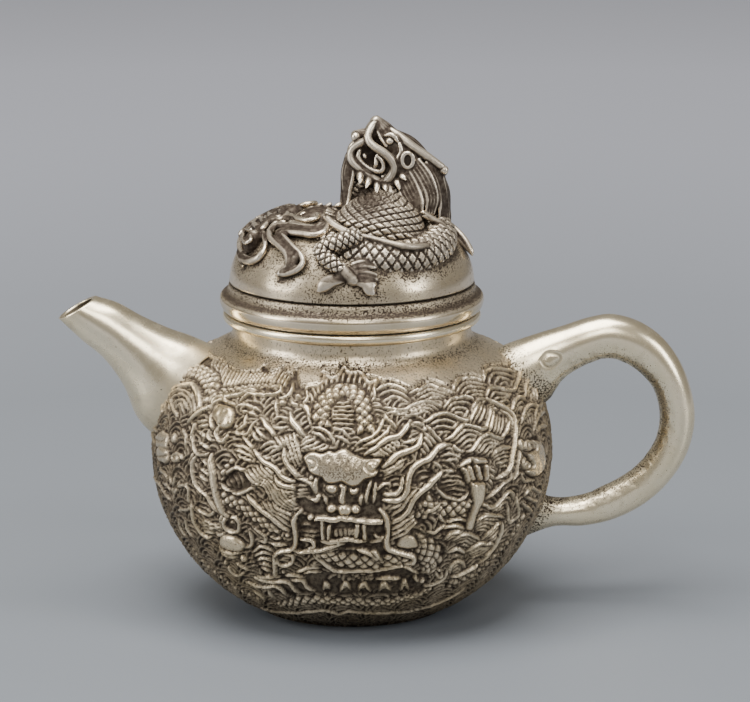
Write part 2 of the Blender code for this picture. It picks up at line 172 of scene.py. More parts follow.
def cap(start, count, flip=False):
    """One face over a ring of points."""
    ring = tuple(range(start, start + count))
    return ring[::-1] if flip else ring


def turned(outline, turn):
    """Rings of points round the axis, one for each (radius, height)."""
    return [np.column_stack([r * np.cos(turn), r * np.sin(turn), np.full(len(turn), z)])
            for r, z in outline]


# ---------------------------------------------------------------- relief of the pot

CELL = 0.32                 # spacing of the relief's grid
GROUND = -1.15              # depth of the ground below the smooth shoulder
HALF = 521                  # columns over the front half


def pot_rows():
    """The pot's profile in steps of one cell."""
    line = catmull(POT_PROFILE, 0.2)
    length = np.linalg.norm(np.diff(line, axis=0), axis=1).sum()
    return evenly(line, int(length / CELL))


class Relief:
    """Heights above the pot's mean surface over its front half, and the strokes that make them."""

    def __init__(self):
        self.line = pot_rows()
        self.rows = len(self.line)
        self.radius = self.line[:, 0]
        self.along = np.r_[0.0, np.cumsum(np.linalg.norm(np.diff(self.line, axis=0), axis=1))]
        self.turn = np.linspace(-math.pi, 0.0, HALF)
        self.step_turn = self.turn[1] - self.turn[0]
        tangent = np.gradient(self.line, axis=0)
        tangent = tangent / np.linalg.norm(tangent, axis=1)[:, None]
        self.normal = np.column_stack([tangent[:, 1], -tangent[:, 0]])
        self.height = np.full((self.rows, HALF), GROUND)
        self.dots = np.zeros((self.rows, HALF))
        self.see()

    def see(self):
        """Where each grid point shows in the front elevation, and which ones face the camera."""
        radius = self.radius[:, None]
        points = np.stack([radius * np.cos(self.turn), radius * np.sin(self.turn),
                           np.repeat(self.line[:, 1][:, None], HALF, axis=1)], axis=-1)
        rel = points - np.array(CAM_AIM)
        depth = CAM_FAR + rel @ LOOK
        self.x = AIM_X + CAM_FAR * rel[..., 0] / depth
        self.h = AIM_H + CAM_FAR * (rel @ LIFT) / depth
        out = self.normal[:, 0][:, None]
        normals = np.stack([out * np.cos(self.turn), out * np.sin(self.turn),
                            np.repeat(self.normal[:, 1][:, None], HALF, axis=1)], axis=-1)
        eye = np.array(CAM_AIM) - LOOK * CAM_FAR
        ray = points - eye
        facing = -(normals * ray).sum(-1) / np.linalg.norm(ray, axis=-1)
        self.facing = facing > 0.015
        rows, columns = np.nonzero(self.facing)
        self.tree = kdtree.KDTree(len(rows))
        for index, (row, column) in enumerate(zip(rows.tolist(), columns.tolist())):
            self.tree.insert((self.x[row, column], self.h[row, column], 0.0), index)
        self.tree.balance()
        self.seen = np.column_stack([rows, columns])
        self.slope = [np.gradient(self.x, axis=0), np.gradient(self.x, axis=1),
                      np.gradient(self.h, axis=0), np.gradient(self.h, axis=1)]

    def lay(self, points):
        """Grid positions (row, column) of points of the front elevation, as decimals."""
        result = []
        for x, h in np.asarray(points, float)[:, :2]:
            row, column = self.seen[self.tree.find((x, h, 0.0))[1]]
            dx = x - self.x[row, column]
            dh = h - self.h[row, column]
            a, b, c, d = [part[row, column] for part in self.slope]
            det = a * d - b * c
            shift = (0.0, 0.0)
            if abs(det) > 0.01:
                shift = ((d * dx - b * dh) / det, (a * dh - c * dx) / det)
            result.append((row + min(max(shift[0], -1.0), 1.0),
                           column + min(max(shift[1], -1.0), 1.0)))
        return np.array(result)

    def near(self, points, reach, smooth=True):
        """Distance, length along and side of the cells within reach of a stroke."""
        track = catmull(points, 0.5) if smooth else np.asarray(points, float)
        spots = self.lay(track)
        return self.measure(spots, reach)

    def measure(self, spots, reach):
        """The same for a stroke that is given in grid positions."""
        if len(spots) == 1:
            spots = np.vstack([spots, spots + (0.05, 0.05)])
        mean_radius = np.interp(spots[:, 0], np.arange(self.rows), self.radius)
        margin = reach / CELL + 1
        side = reach / (self.step_turn * max(mean_radius.min(), 10.0)) + 1
        low_row = max(int(spots[:, 0].min() - margin), 0)
        high_row = min(int(spots[:, 0].max() + margin) + 2, self.rows)
        low_col = max(int(spots[:, 1].min() - side), 0)
        high_col = min(int(spots[:, 1].max() + side) + 2, HALF)
        shape = (high_row - low_row, high_col - low_col)
        best = np.full(shape, 1e9)
        length = np.zeros(shape)
        across = np.zeros(shape)
        gone = 0.0
        for index in range(len(spots) - 1):
            first, last = spots[index], spots[index + 1]
            mid_radius = np.interp(first[0], np.arange(self.rows), self.radius)
            seg_x = (last[1] - first[1]) * self.step_turn * mid_radius
            seg_y = (last[0] - first[0]) * CELL
            size = math.hypot(seg_x, seg_y)
            r0 = max(int(min(first[0], last[0]) - margin), low_row)
            r1 = min(int(max(first[0], last[0]) + margin) + 2, high_row)
            c0 = max(int(min(first[1], last[1]) - side), low_col)
            c1 = min(int(max(first[1], last[1]) + side) + 2, high_col)
            if r1 <= r0 or c1 <= c0 or size < 1e-6:
                continue
            rr = self.radius[r0:r1, None]
            px = (np.arange(c0, c1)[None, :] - first[1]) * self.step_turn * rr
            py = (np.arange(r0, r1)[:, None] - first[0]) * CELL + 0 * px
            t = np.clip((px * seg_x + py * seg_y) / size ** 2, 0.0, 1.0)
            dist = np.hypot(px - t * seg_x, py - t * seg_y)
            window = (slice(r0 - low_row, r1 - low_row), slice(c0 - low_col, c1 - low_col))
            closer = dist < best[window]
            best[window] = np.where(closer, dist, best[window])
            length[window] = np.where(closer, gone + t * size, length[window])
            cross = (seg_x * py - seg_y * px) / size
            across[window] = np.where(closer, cross, across[window])
            gone += size
        area = (slice(low_row, high_row), slice(low_col, high_col))
        return area, best, length, across, gone

    def ridge(self, points, width=0.9, top=0.0, moat=0.3, taper=True):
        """A raised rounded line, top above the mean surface, with a furrow moat wide on both
        sides."""
        area, dist, length, _, total = self.near(points, width / 2 + moat + CELL)
        half = np.full(dist.shape, width * 0.43)
        crest = np.full(dist.shape, float(top))
        if taper and total > 2.0:
            ends = np.minimum(length, total - length)
            half = half * (0.5 + 0.5 * smoothstep(ends / min(0.3 * total, 3.0)))
            crest = crest - 0.35 * (1 - smoothstep(ends / 1.6))
        here = self.height[area]
        if moat:
            cut = dist < half + moat
            here = np.where(cut, np.minimum(here, GROUND * 0.9), here)
        shape = np.sqrt(np.clip(1 - (dist / (half + 0.12)) ** 2, 0.0, 1.0))
        value = GROUND + (crest - GROUND) * np.minimum(shape * 1.35, 1.0)
        self.height[area] = np.where(dist < half + 0.12, np.maximum(here, value), here)

    def ridges(self, lines, *shape, **options):
        """Several raised lines of one shape."""
        for line in lines:
            self.ridge(line, *shape, **options)

    def groove(self, points, width=0.5, depth=0.6):
        """A line cut into what is there."""
        area, dist, _, _, _ = self.near(points, width / 2 + CELL)
        here = self.height[area]
        drop = depth * np.clip(1 - (dist / (width / 2 + 0.1)) ** 2, 0.0, 1.0)
        self.height[area] = np.maximum(here - drop, GROUND * 1.1)

    def comb(self, first, last, count, width=0.75, top=0.0, moat=0.2):
        """Ridges spread evenly between two strokes, both included."""
        size = max(len(first), len(last), 6)
        a = evenly(catmull(first, 0.5), size)
        b = evenly(catmull(last, 0.5), size)
        for index in range(count):
            share = index / max(count - 1, 1)
            self.ridge(a + (b - a) * share, width, top, moat)

    def rungs(self, first, last, count, width=0.6, top=-0.1, moat=0.2):
        """Short ridges that join two strokes."""
        a = evenly(catmull(first, 0.5), count)
        b = evenly(catmull(last, 0.5), count)
        for start, end in zip(a, b):
            self.ridge([start, end], width, top, moat, taper=False)

    def inside(self, outline):
        """Cells whose place in the elevation lies in an outline, with the box around them."""
        track = catmull(list(outline) + [outline[0]], 0.7)
        low, high = track.min(0) - 0.5, track.max(0) + 0.5
        near_it = (self.facing & (self.x > low[0]) & (self.x < high[0])
                   & (self.h > low[1]) & (self.h < high[1]))
        rows, columns = np.nonzero(near_it)
        px, ph = self.x[rows, columns], self.h[rows, columns]
        odd = np.zeros(len(px), bool)
        for (x1, h1), (x2, h2) in zip(track[:-1], track[1:]):
            if h1 == h2:
                continue
            crosses = (h1 > ph) != (h2 > ph)
            odd ^= crosses & (px < x1 + (ph - h1) * (x2 - x1) / (h2 - h1))
        return rows[odd], columns[odd]

    def plate(self, outline, top=0.15, rim=0.9, moat=0.5, dome=0.0):
        """A raised flat or slightly domed area with rounded edges and a furrow around it."""
        closed = list(outline) + [outline[0]]
        area, dist, _, _, _ = self.near(closed, max(rim, moat) + 3.0)
        field = np.full(self.height.shape, 99.0)
        field[area] = np.minimum(field[area], dist)
        if moat:
            ring = field < moat
            self.height[ring] = np.minimum(self.height[ring], GROUND)
        rows, columns = self.inside(outline)
        depth = np.minimum(field[rows, columns], 6.0)
        edge = np.sqrt(np.clip(1 - (1 - np.clip(depth / rim, 0, 1)) ** 2, 0, 1))
        rise = GROUND * 0.9 + (top - GROUND * 0.9) * edge + dome * smoothstep(depth / 4.0)
        self.height[rows, columns] = rise

    def stipple(self, outline):
        """An area covered in punched dots, which the material shows."""
        rows, columns = self.inside(outline)
        self.dots[rows, columns] = 1.0

    def recess(self, outline, floor=GROUND):
        """An area cleared down to a flat floor."""
        rows, columns = self.inside(outline)
        self.height[rows, columns] = floor

    def band(self, points, half, top=0.1, scale=1.9, across=3, start=0.0):
        """A rounded body covered in overlapping scales."""
        path = np.array(points, float)
        if path.shape[1] > 2:
            widths = path[:, 2]
            path = path[:, :2]
        else:
            widths = np.full(len(path), float(half))
        dense = catmull(np.column_stack([path, widths]), 0.5)
        area, dist, length, side, total = self.near(dense[:, :2], widths.max() + 0.6, smooth=False)
        marks = np.linspace(0.0, total, len(dense))
        wide = np.interp(length, marks, dense[:, 2])
        here = self.height[area]
        here = np.where(dist < wide + 0.4, np.minimum(here, GROUND), here)
        v = side / wide
        body = np.sqrt(np.clip(1 - v ** 2, 0.0, 1.0))
        row = length / (scale * 1.5)
        lane = v * max(across - 1.4, 1.1)
        ahead = (row + start + lane * 0.5) % 1.0
        back = (row + start - lane * 0.5) % 1.0
        pattern = scale_pattern(row + start, lane) * (0.7 + 0.15 * (ahead + back))
        value = GROUND + (top - GROUND) * (0.5 + 0.5 * body) - (1 - pattern) * 1.0
        keep = (dist < wide) & (dist <= np.abs(side) + 0.35)
        self.height[area] = np.where(keep, np.maximum(value, GROUND), here)

    def bead(self, x, h, radius, top=0.3, moat=0.4):
        """A raised round drop in a hollow."""
        area, dist, _, _, _ = self.near([(x, h), (x + 0.05, h)], radius + moat + CELL)
        here = self.height[area]
        here = np.where(dist < radius + moat, np.minimum(here, GROUND), here)
        shape = np.sqrt(np.clip(1 - (dist / (radius + 0.1)) ** 2, 0.0, 1.0))
        value = GROUND + (top - GROUND) * shape
        self.height[area] = np.where(dist < radius + 0.1, np.maximum(here, value), here)

    def spiral(self, x, h, radius, start=0.0):
        """A raised line that curls inwards."""
        turns = 1.3
        count = int(14 * turns)
        points = []
        for index in range(count + 1):
            share = index / count
            angle = start + TAU * turns * share
            size = radius * (1 - 0.82 * share)
            points.append((x + size * math.cos(angle), h + size * math.sin(angle)))
        self.recess(circle(x, h, radius + 0.3, radius + 0.3))
        self.ridge(points, 0.7, 0.15, 0.0, taper=False)


def circle(x, h, wide, high, tilt=0.0):
    """An ellipse, tilted by degrees."""
    turns = [TAU * index / 14 for index in range(14)]
    c, s = math.cos(math.radians(tilt)), math.sin(math.radians(tilt))
    return [(x + wide * math.cos(t) * c - high * math.sin(t) * s,
             h + wide * math.cos(t) * s + high * math.sin(t) * c) for t in turns]


def scale_pattern(row, lane):
    """1 in the middle of a scale and 0 in the furrow between scales, for diamond scales."""
    a = row + lane * 0.5
    b = row - lane * 0.5
    ca = np.abs((a % 1.0) - 0.5) * 2
    cb = np.abs((b % 1.0) - 0.5) * 2
    edge = np.maximum(ca, cb)
    return 1 - smoothstep((edge - 0.58) / 0.36)


# ---------------------------------------------------------------- strokes of the relief

BORDER = [
    (-60, 51), (-56, 50), (-53, 48.5), (-50.4, 49.5), (-50, 52), (-49.6, 54.5), (-48.8, 57), (-48, 59),
    (-46.4, 61), (-44, 63.4), (-41, 64), (-39.4, 65), (-37.6, 65), (-36.4, 64), (-34.4, 63.6),
    (-33, 62.4), (-31, 61), (-29, 60.6), (-26, 60.4), (-24, 60.6), (-22.4, 62), (-21.6, 60.6),
    (-19.6, 60.4), (-18, 61.4), (-17.4, 60), (-15.4, 59.6), (-14.4, 60.8), (-14.2, 58.6), (-13.6, 57),
    (-11.8, 56.6), (-9, 57), (-7.8, 58), (-7.6, 60), (-6, 59.4), (-4, 59.8), (-2.2, 62.2), (-0.6, 61.1),
    (2.6, 60.8), (3.6, 59.3), (6, 58.8), (8, 58), (11, 57.8), (14, 56.5), (16, 55.9), (18, 57.4),
    (20.5, 58), (23, 57.3), (25, 56.5), (26, 56.8), (27, 58.3), (28, 59.3), (31, 59.7), (34, 58.9),
    (34.2, 60.6), (35, 61.9), (38, 62.3), (41, 62.1), (43, 62.6), (45, 61.3), (47, 59.3), (48, 57.8),
    (50, 56.3), (51, 53.3), (56, 52),
]


def ground_waves(relief):
    """Overlapping scallops of concentric ridges over the whole relief."""
    rng = np.random.default_rng(7)
    total = relief.along[-1]
    level = total * 0.78
    odd = 0
    while level > -4.0:
        radius = np.interp(level, relief.along, relief.radius)
        gap = 8.6 / (radius * relief.step_turn)
        column = -gap * (0.5 if odd else 0.0)
        while column < HALF + gap:
            row = (level + rng.uniform(-0.5, 0.5)) / CELL
            scallop(relief, row, column + rng.uniform(-0.06, 0.06) * gap, rng.uniform(5.0, 5.8))
            column += gap
        level -= 3.6
        odd = 1 - odd


def scallop(relief, row, column, size):
    """One fan of concentric ridges round a grid position."""
    reach = int(size / CELL) + 2
    low, high = max(int(row) - reach, 0), min(int(row) + reach, relief.rows)
    if high <= low:
        return
    side = int(size / (relief.step_turn * relief.radius[low:high].min())) + 2
    left, right = max(int(column) - side, 0), min(int(column) + side, HALF)
    if right <= left:
        return
    rows = np.arange(low, high)[:, None]
    column_step = relief.step_turn * relief.radius[low:high, None]
    across = (np.arange(left, right)[None, :] - column) * column_step
    up = (rows - row) * CELL + 0 * across
    dist = np.hypot(across, up * 1.12)
    ripple = (0.5 + 0.5 * np.cos(TAU * (size - 0.45 - dist) / 1.42)) ** 1.5
    value = GROUND + 0.9 * ripple * smoothstep(dist / 1.2)
    value = np.where(dist > size - 0.1, GROUND, value)
    here = relief.height[low:high, left:right]
    relief.height[low:high, left:right] = np.where(dist < size, value, here)


def waves(relief, crests):
    """Waves, each from its crest line, its core and the number of ridges between them."""
    for outline, core, inner in crests:
        relief.recess(outline + core[::-1])
        relief.comb(outline, core, inner + 1, 0.7, -0.15, 0.25)
        relief.ridge(outline, 1.0, 0.1, 0.4)


def right_waves(relief):
    """Waves over the right half, and the long edge of cloud that crosses them."""
    waves(relief, [
        ([(6.4, 55.6), (9, 57), (12, 56.6), (15, 54.9)], [(8, 52.6), (10.5, 54), (13, 53.4),
                (15.4, 52.4)], 2),
        ([(26.5, 55.4), (27.6, 58), (29, 58.8), (31.5, 58.9), (34, 58.2), (36, 57.8)],
         [(31, 54), (32.5, 54.6), (35, 54.3)], 4),
        ([(34.6, 58), (34.8, 60.5), (36.5, 61.5), (39, 61.3), (42, 60.8)],
         [(39, 57), (40, 57.8), (41.6, 57)], 3),
        ([(15.2, 54.9), (17.5, 55.9), (20, 57), (22.5, 56.2), (25.5, 55.4), (27, 55.2)], [(18, 52.9),
                (20, 53.3), (22, 54), (24, 53.4)], 3),
        ([(35.4, 54.5), (36.5, 56.2), (38.5, 56.3), (40.5, 55.4), (42.5, 55.6), (43.4, 57.5),
          (44, 60), (44.8, 60.6)], [(38.6, 52.2), (40, 53), (41.6, 52.6)], 3),
        ([(45.6, 54), (45.6, 57), (46.8, 58.6), (47.8, 56.5), (48.6, 53)],
         [(46.8, 53), (47.2, 54.6), (47.8, 53)], 2),
        ([(8.4, 51.2), (11, 50.5), (14, 50.7), (16, 52), (18.5, 52.7), (21, 52.4), (24, 51.2)],
         [(13, 48.8), (17, 49.3), (19, 50), (21, 49.2)], 3),
        ([(24.4, 51), (26, 53), (28.5, 54), (31, 53.7), (32.3, 53)],
         [(27, 49), (28.5, 49.8), (30.4, 49)], 3),
        ([(18.6, 47), (20, 47.6), (22, 49.2), (24, 49.6), (26.5, 48.9), (29, 47.9), (30.6, 48),
          (31.6, 49.8), (32.2, 52), (33.4, 53.2), (35, 53.2)],
         [(22.5, 44.6), (24, 44.9), (26.4, 44.6)], 3),
        ([(33.6, 52.4), (32, 49.5), (31, 47.4)], [(36, 51), (35.6, 48.5), (34.4, 46.6)], 3),
        ([(24.6, 42.5), (26.5, 43.5), (28, 45.3), (30, 46.6), (32, 46.1), (34, 45.4), (35.4, 46),
          (36.2, 48.5), (36.8, 50.4), (38.3, 50.6)], [(29.6, 40.3), (31, 41.2), (32.4, 40.6)], 4),
        ([(37.2, 50), (36.6, 47), (36, 44.6)], [(40.8, 48.4), (40.4, 45), (39, 43.2)], 4),
        ([(22.6, 39.8), (24.4, 41.4), (26, 41.3), (28, 40), (30, 39.4)],
         [(24, 37), (27, 37.6), (29, 36.4)], 3),
        ([(30, 39.4), (31.6, 40), (33.6, 42.6), (35.6, 43.9), (37.6, 43.2), (39, 42.8), (40.4, 44),
          (41.2, 46.4), (41.6, 48.4)], [(35.5, 38.6), (37, 39.6), (38.4, 39)], 4),
        ([(36.6, 38), (38, 39.8), (40, 40.6), (41.8, 40.6)], [(38.4, 35.6), (40, 35.8), (41.2, 35.4)],
         4),
        ([(42, 50), (42.6, 52.2), (44, 53.6), (45.8, 53)], [(43.4, 50), (44, 51), (45, 51.2)], 2),
        ([(44.6, 47), (45.2, 50), (47, 51.8), (48.6, 51)], [(46, 48), (46.8, 49.4), (47.8, 49)], 2),
    ])
    relief.ridges([
        [(9.4, 49.6), (13, 49.5), (14.8, 49.9)],
        [(48, 47.8), (48.6, 51), (50, 52)],
        [(47.5, 44), (48.6, 48), (50.6, 50.4)],
        [(48.5, 44), (49.6, 46), (51, 46.5)],
    ], 0.8)
    relief.ridge([(39, 50.4), (41.2, 48.6), (42.4, 46), (42.2, 42)], 0.9)
    relief.ridge([(35.4, 53.6), (37.5, 52.3), (40, 51), (41.8, 49.6), (42.8, 47.5), (43, 44),
                  (42.6, 41), (42, 38), (41.6, 35.6), (40.6, 34), (39, 32.8), (38, 32)], 1.4, 0.2,
                 0.45)
    relief.ridge([(43.6, 43), (44, 40), (43.6, 37), (43.4, 34), (42.6, 32.6), (41, 31)], 0.9)


def lower_right_waves(relief):
    """Waves at the lower right, and a scaled body that sweeps up past them."""
    waves(relief, [
        ([(24, 22), (26, 23.2), (28.6, 22.9), (30, 22.4)], [(25, 21), (27, 21.8), (29, 21.2)], 1),
        ([(23.6, 20.2), (26, 21.4), (28, 21.6), (30, 21)], [(24.6, 19.4), (27, 20), (29, 19.6)], 1),
        ([(22.4, 18.2), (24.4, 19.6), (27, 19.8), (29.4, 19), (31, 18.6)],
         [(24, 17.4), (26.6, 18.4), (29.4, 17.6)], 1),
        ([(24, 16), (25.6, 17.8), (28, 18.2), (30, 17.8)], [(25.6, 15.4), (27, 16.4), (28.6, 15.6)],
         2),
        ([(26.6, 15.8), (28.4, 17.2), (31, 17.6), (32.6, 16.8), (33.8, 16)],
         [(28.2, 14.2), (29.6, 14.8), (31, 14.2)], 3),
        ([(25.2, 12.8), (27.4, 13.8), (29, 13.2), (29.8, 12.4)],
         [(26.2, 11.8), (27.6, 12.2), (28.8, 11.8)], 1),
        ([(25.6, 7.4), (26, 9.6), (27.4, 10.7), (28.8, 10.3), (29.8, 9)],
         [(27, 7.4), (27.7, 7.9), (28.4, 7.4)], 3),
        ([(30, 13), (32, 14.4), (34, 15.3), (36, 15.1), (37.2, 14.7)], [(30.4, 11.2), (32.4, 11.9),
                (34.6, 13.1), (36, 13.6)], 4),
        ([(32, 20.2), (33.6, 21.9), (36, 22.7), (38, 22.4), (40, 21.8)],
         [(32.6, 18.4), (34.4, 18.8), (36, 18.2)], 4),
        ([(34.2, 16.2), (36, 18.3), (38, 20), (39.2, 20.4)], [(36, 15.4), (37.4, 16.4), (38.4, 17.6)],
         3),
        ([(33.8, 25.6), (35.2, 25.4), (36.4, 24.6), (38, 25.4), (40, 27.8), (41.4, 28.8),
          (42.2, 28.2), (42.6, 27)], [(38, 23.4), (38.8, 24.2), (40, 24.6)], 3),
    ])
    relief.ridge([(35.2, 27), (37, 28.4), (38.4, 29.4), (40, 31), (41.6, 32.2), (42.6, 33.6)], 1.0)
    relief.ridges([
        [(36.2, 35), (38, 33.4)],
        [(35.8, 33.6), (37.6, 31.8)],
        [(35.8, 32.2), (37.2, 30.6)],
        [(35.6, 30.8), (36.8, 29.4)],
    ], 0.7)
    relief.ridge([(40.8, 26), (40.8, 23.4), (41.2, 21), (42.4, 21.8), (43.4, 22.4), (43.6, 24),
                  (43.2, 26.4), (43.6, 28)], 0.9)
    relief.band([(26, 4.6), (31, 6.6), (34, 8.8), (37, 11.4), (39.6, 14.2), (41.8, 17), (43.6, 20),
                 (45, 22.6)], 1.5, 0.0, 1.7, 2)
    relief.ridge([(26, 6.4), (28, 6.9), (30, 8), (32.4, 9.4), (34.8, 11.4), (36.8, 13.6), (38, 15.6),
                  (39, 18), (39.4, 20.4)], 1.1, 0.2, 0.45)
    relief.ridge([(33, 9.9), (35.4, 11.6), (37, 13)], 0.7)


def left_upper(relief):
    """The fin, scaled arch and long whisker beside the spout."""
    fin_low = [(-36.6, 61.5), (-35, 58.5), (-33.4, 56.8), (-30, 57.2), (-26, 57.6), (-22, 57.6),
               (-19.6, 57.6), (-18, 56.4)]
    fin_high = [(-36, 64), (-33.6, 62.8), (-31.4, 60.6), (-29, 60.2), (-26, 60), (-23, 60.2),
                (-21, 60.2), (-18.6, 60.8), (-16.4, 59.2)]
    relief.recess(fin_low + fin_high[::-1])
    relief.rungs(fin_low, fin_high, 24, 0.55, -0.05)
    relief.band([(-47.4, 57), (-45.4, 59.6), (-42, 61), (-38.6, 60), (-36.8, 57), (-37, 54.5),
                 (-38.6, 52.8)], 2.7, 0.2, 1.8, 3)
    belly = [(-49.6, 50), (-49.2, 53), (-47.6, 55.4), (-45, 56.6), (-42.6, 57.2), (-41, 56),
             (-40.2, 53), (-40, 51)]
    relief.ridge(belly, 1.7, 0.1, 0.4, taper=False)
    for x, h, wide, high in ((-45.2, 50.6, 3.9, 5.0), (-45.2, 50.4, 3.0, 3.9),
            (-45.2, 50.2, 2.0, 2.6), (-45.2, 50, 1.1, 1.4)):
        arc = [(x + wide * math.cos(t),
                h + high * math.sin(t)) for t in np.linspace(-0.4, math.pi + 0.2, 9)]
        relief.ridge(arc, 0.75, -0.1, 0.2)
    relief.ridge([(-47.8, 53.6), (-47, 50.6), (-45.6, 48.2)], 0.8)
    relief.band([(-34, 55.6), (-30, 56), (-26, 56.6), (-22, 56.9), (-19.6, 56.6)], 1.15, 0.1, 1.3, 2)
    relief.ridge([(-43, 47), (-41, 49), (-39, 50.4), (-37, 51.2), (-35.8, 53), (-34, 53.9),
                  (-31, 54.3), (-28, 55), (-26.4, 55.7), (-25, 55.4)], 1.4, 0.2, 0.45)
    relief.ridge([(-29.4, 52.6), (-27.8, 54), (-26.4, 54.6), (-23, 54.4), (-20.6, 54.4),
                  (-18.6, 55.2), (-18.8, 56.6), (-20.4, 57)], 1.1, 0.1, 0.35)


def pearl_and_neighbours(relief):
    """A pearl, and the thin clouds between it and the face."""
    relief.ridges([
        [(-36.6, 50), (-37, 47), (-36.4, 45)],
        [(-37, 50.6), (-36, 52.2), (-33.6, 53), (-31.4, 52), (-30.4, 50.6)],
        [(-37.6, 45), (-37.8, 43.4), (-37, 42.4), (-35.6, 42)],
    ], 0.9)
    relief.plate(circle(-33.6, 48.6, 2.7, 3.4, tilt=8), 0.3, 1.4, 0.5, 0.2)
    relief.ridge([(-34.6, 46.4), (-35.4, 45), (-35.6, 44), (-35, 42.4), (-33.8, 41.8), (-33, 43),
                  (-32.6, 44.6)], 0.9, 0.1, 0.3)
    for x, h, size in ((-14.2, 54.2, 0.8), (-18.2, 52.4, 0.9)):
        relief.bead(x, h, size, 0.2)
    relief.ridges([
        [(-15.4, 57.6), (-16, 55.5), (-17.6, 53.8), (-19.6, 53.6)],
        [(-19.8, 49), (-19.8, 51.5), (-19.4, 53.4)],
        [(-11.8, 56.4), (-11.6, 54), (-12.6, 52.6), (-15, 51.8), (-16.4, 53.6)],
        [(-21, 48), (-19, 48.4), (-17, 48), (-16.4, 47)],
        [(-20.8, 46.4), (-19, 45.6), (-17, 46)],
        [(-30.8, 51), (-28, 52), (-25.4, 51.2), (-24, 50.2)],
        [(-29.6, 50), (-27.4, 50), (-25, 49.2)],
        [(-27.6, 49.6), (-28.2, 47.6), (-28.4, 46), (-30.4, 45)],
        [(-24.8, 48), (-26.4, 46), (-27.4, 44), (-29, 43.9), (-31.6, 44.6)],
        [(-28.8, 43.4), (-27, 41.4), (-25, 39.4), (-23.4, 38.2), (-21, 37.8), (-18.6, 38.8)],
        [(-25.6, 45.8), (-23.8, 44), (-22.4, 42.8)],
        [(-26.2, 44.4), (-25, 42.8), (-24, 42.2)],
        [(-24, 40.4), (-21.4, 42), (-19.6, 41.6)],
        [(-23.4, 39.6), (-21, 40.6), (-18.6, 40.6)],
        [(-22, 38.8), (-20, 39.6), (-18.4, 39.8)],
    ], 0.85, 0.0, 0.3)
    relief.ridge([(-16.2, 49.6), (-15.4, 47.4), (-14, 45.4), (-13, 44), (-12.4, 43.4)], 1.4, 0.15,
                 0.4)
    relief.ridge([(-13.4, 52), (-12, 51.4), (-11.2, 50), (-10.8, 48), (-10.6, 46.4)], 1.3, 0.15, 0.4)
    relief.ridge([(-24, 48.4), (-22.4, 46.4), (-20.8, 44.6), (-19.6, 43), (-18, 41), (-17.4, 38.6),
                  (-17, 36)], 1.2, 0.15, 0.4)


def hair_left(relief):
    """Locks of hair that stream left from the face."""
    relief.comb([(-20, 43.4), (-18.2, 40.6), (-17.6, 37), (-17, 34.6)], [(-15.4, 44.4), (-14.6, 41.6),
            (-13.6, 38), (-12.6, 35.6)], 5, 0.8, 0.05, 0.3)
    relief.ridge([(-17.6, 40), (-17.8, 38), (-17.4, 36), (-16.4, 34.8), (-15, 33.6), (-13.6, 32.6),
                  (-12, 32.2)], 1.4, 0.2, 0.4)
    relief.comb([(-28.4, 34), (-25.6, 31.2), (-22.6, 30), (-21.4, 27.4), (-20, 25.2), (-17.4, 24),
                 (-15.2, 23.3)], [(-21, 37.6), (-19.8, 35.4), (-17.8, 33.2), (-16.2, 31),
            (-14.4, 28.6), (-12.6, 26.6), (-10, 25.4)], 8, 0.85, 0.05, 0.3)
    relief.comb([(-24.8, 26.4), (-23, 24), (-20.6, 22), (-18.4, 19.8), (-16.4, 18.2)], [(-20.8, 26.2),
            (-19.6, 24.4), (-18, 23.6), (-16, 22.6), (-15.4, 21.4)], 4, 0.8, 0.0, 0.3)
    relief.ridge([(-25.6, 40), (-24.4, 38), (-22.8, 36.6), (-20.6, 35.4), (-19.4, 33.8),
                  (-18.4, 32.6), (-16.6, 31.8), (-15, 31.6)], 1.3, 0.15, 0.4)
    relief.ridge([(-20.4, 33), (-19.4, 31.2), (-17.6, 30.2), (-15.6, 29.8), (-14.4, 28.8),
                  (-14.6, 27.8), (-16.4, 27.4)], 1.1, 0.1, 0.35)
    relief.ridge([(-27.6, 28), (-26.4, 26.6), (-24.8, 25), (-23.4, 23.4), (-21.4, 22.3), (-20, 21),
                  (-18.4, 19.6), (-16.8, 18.4)], 1.4, 0.15, 0.4)


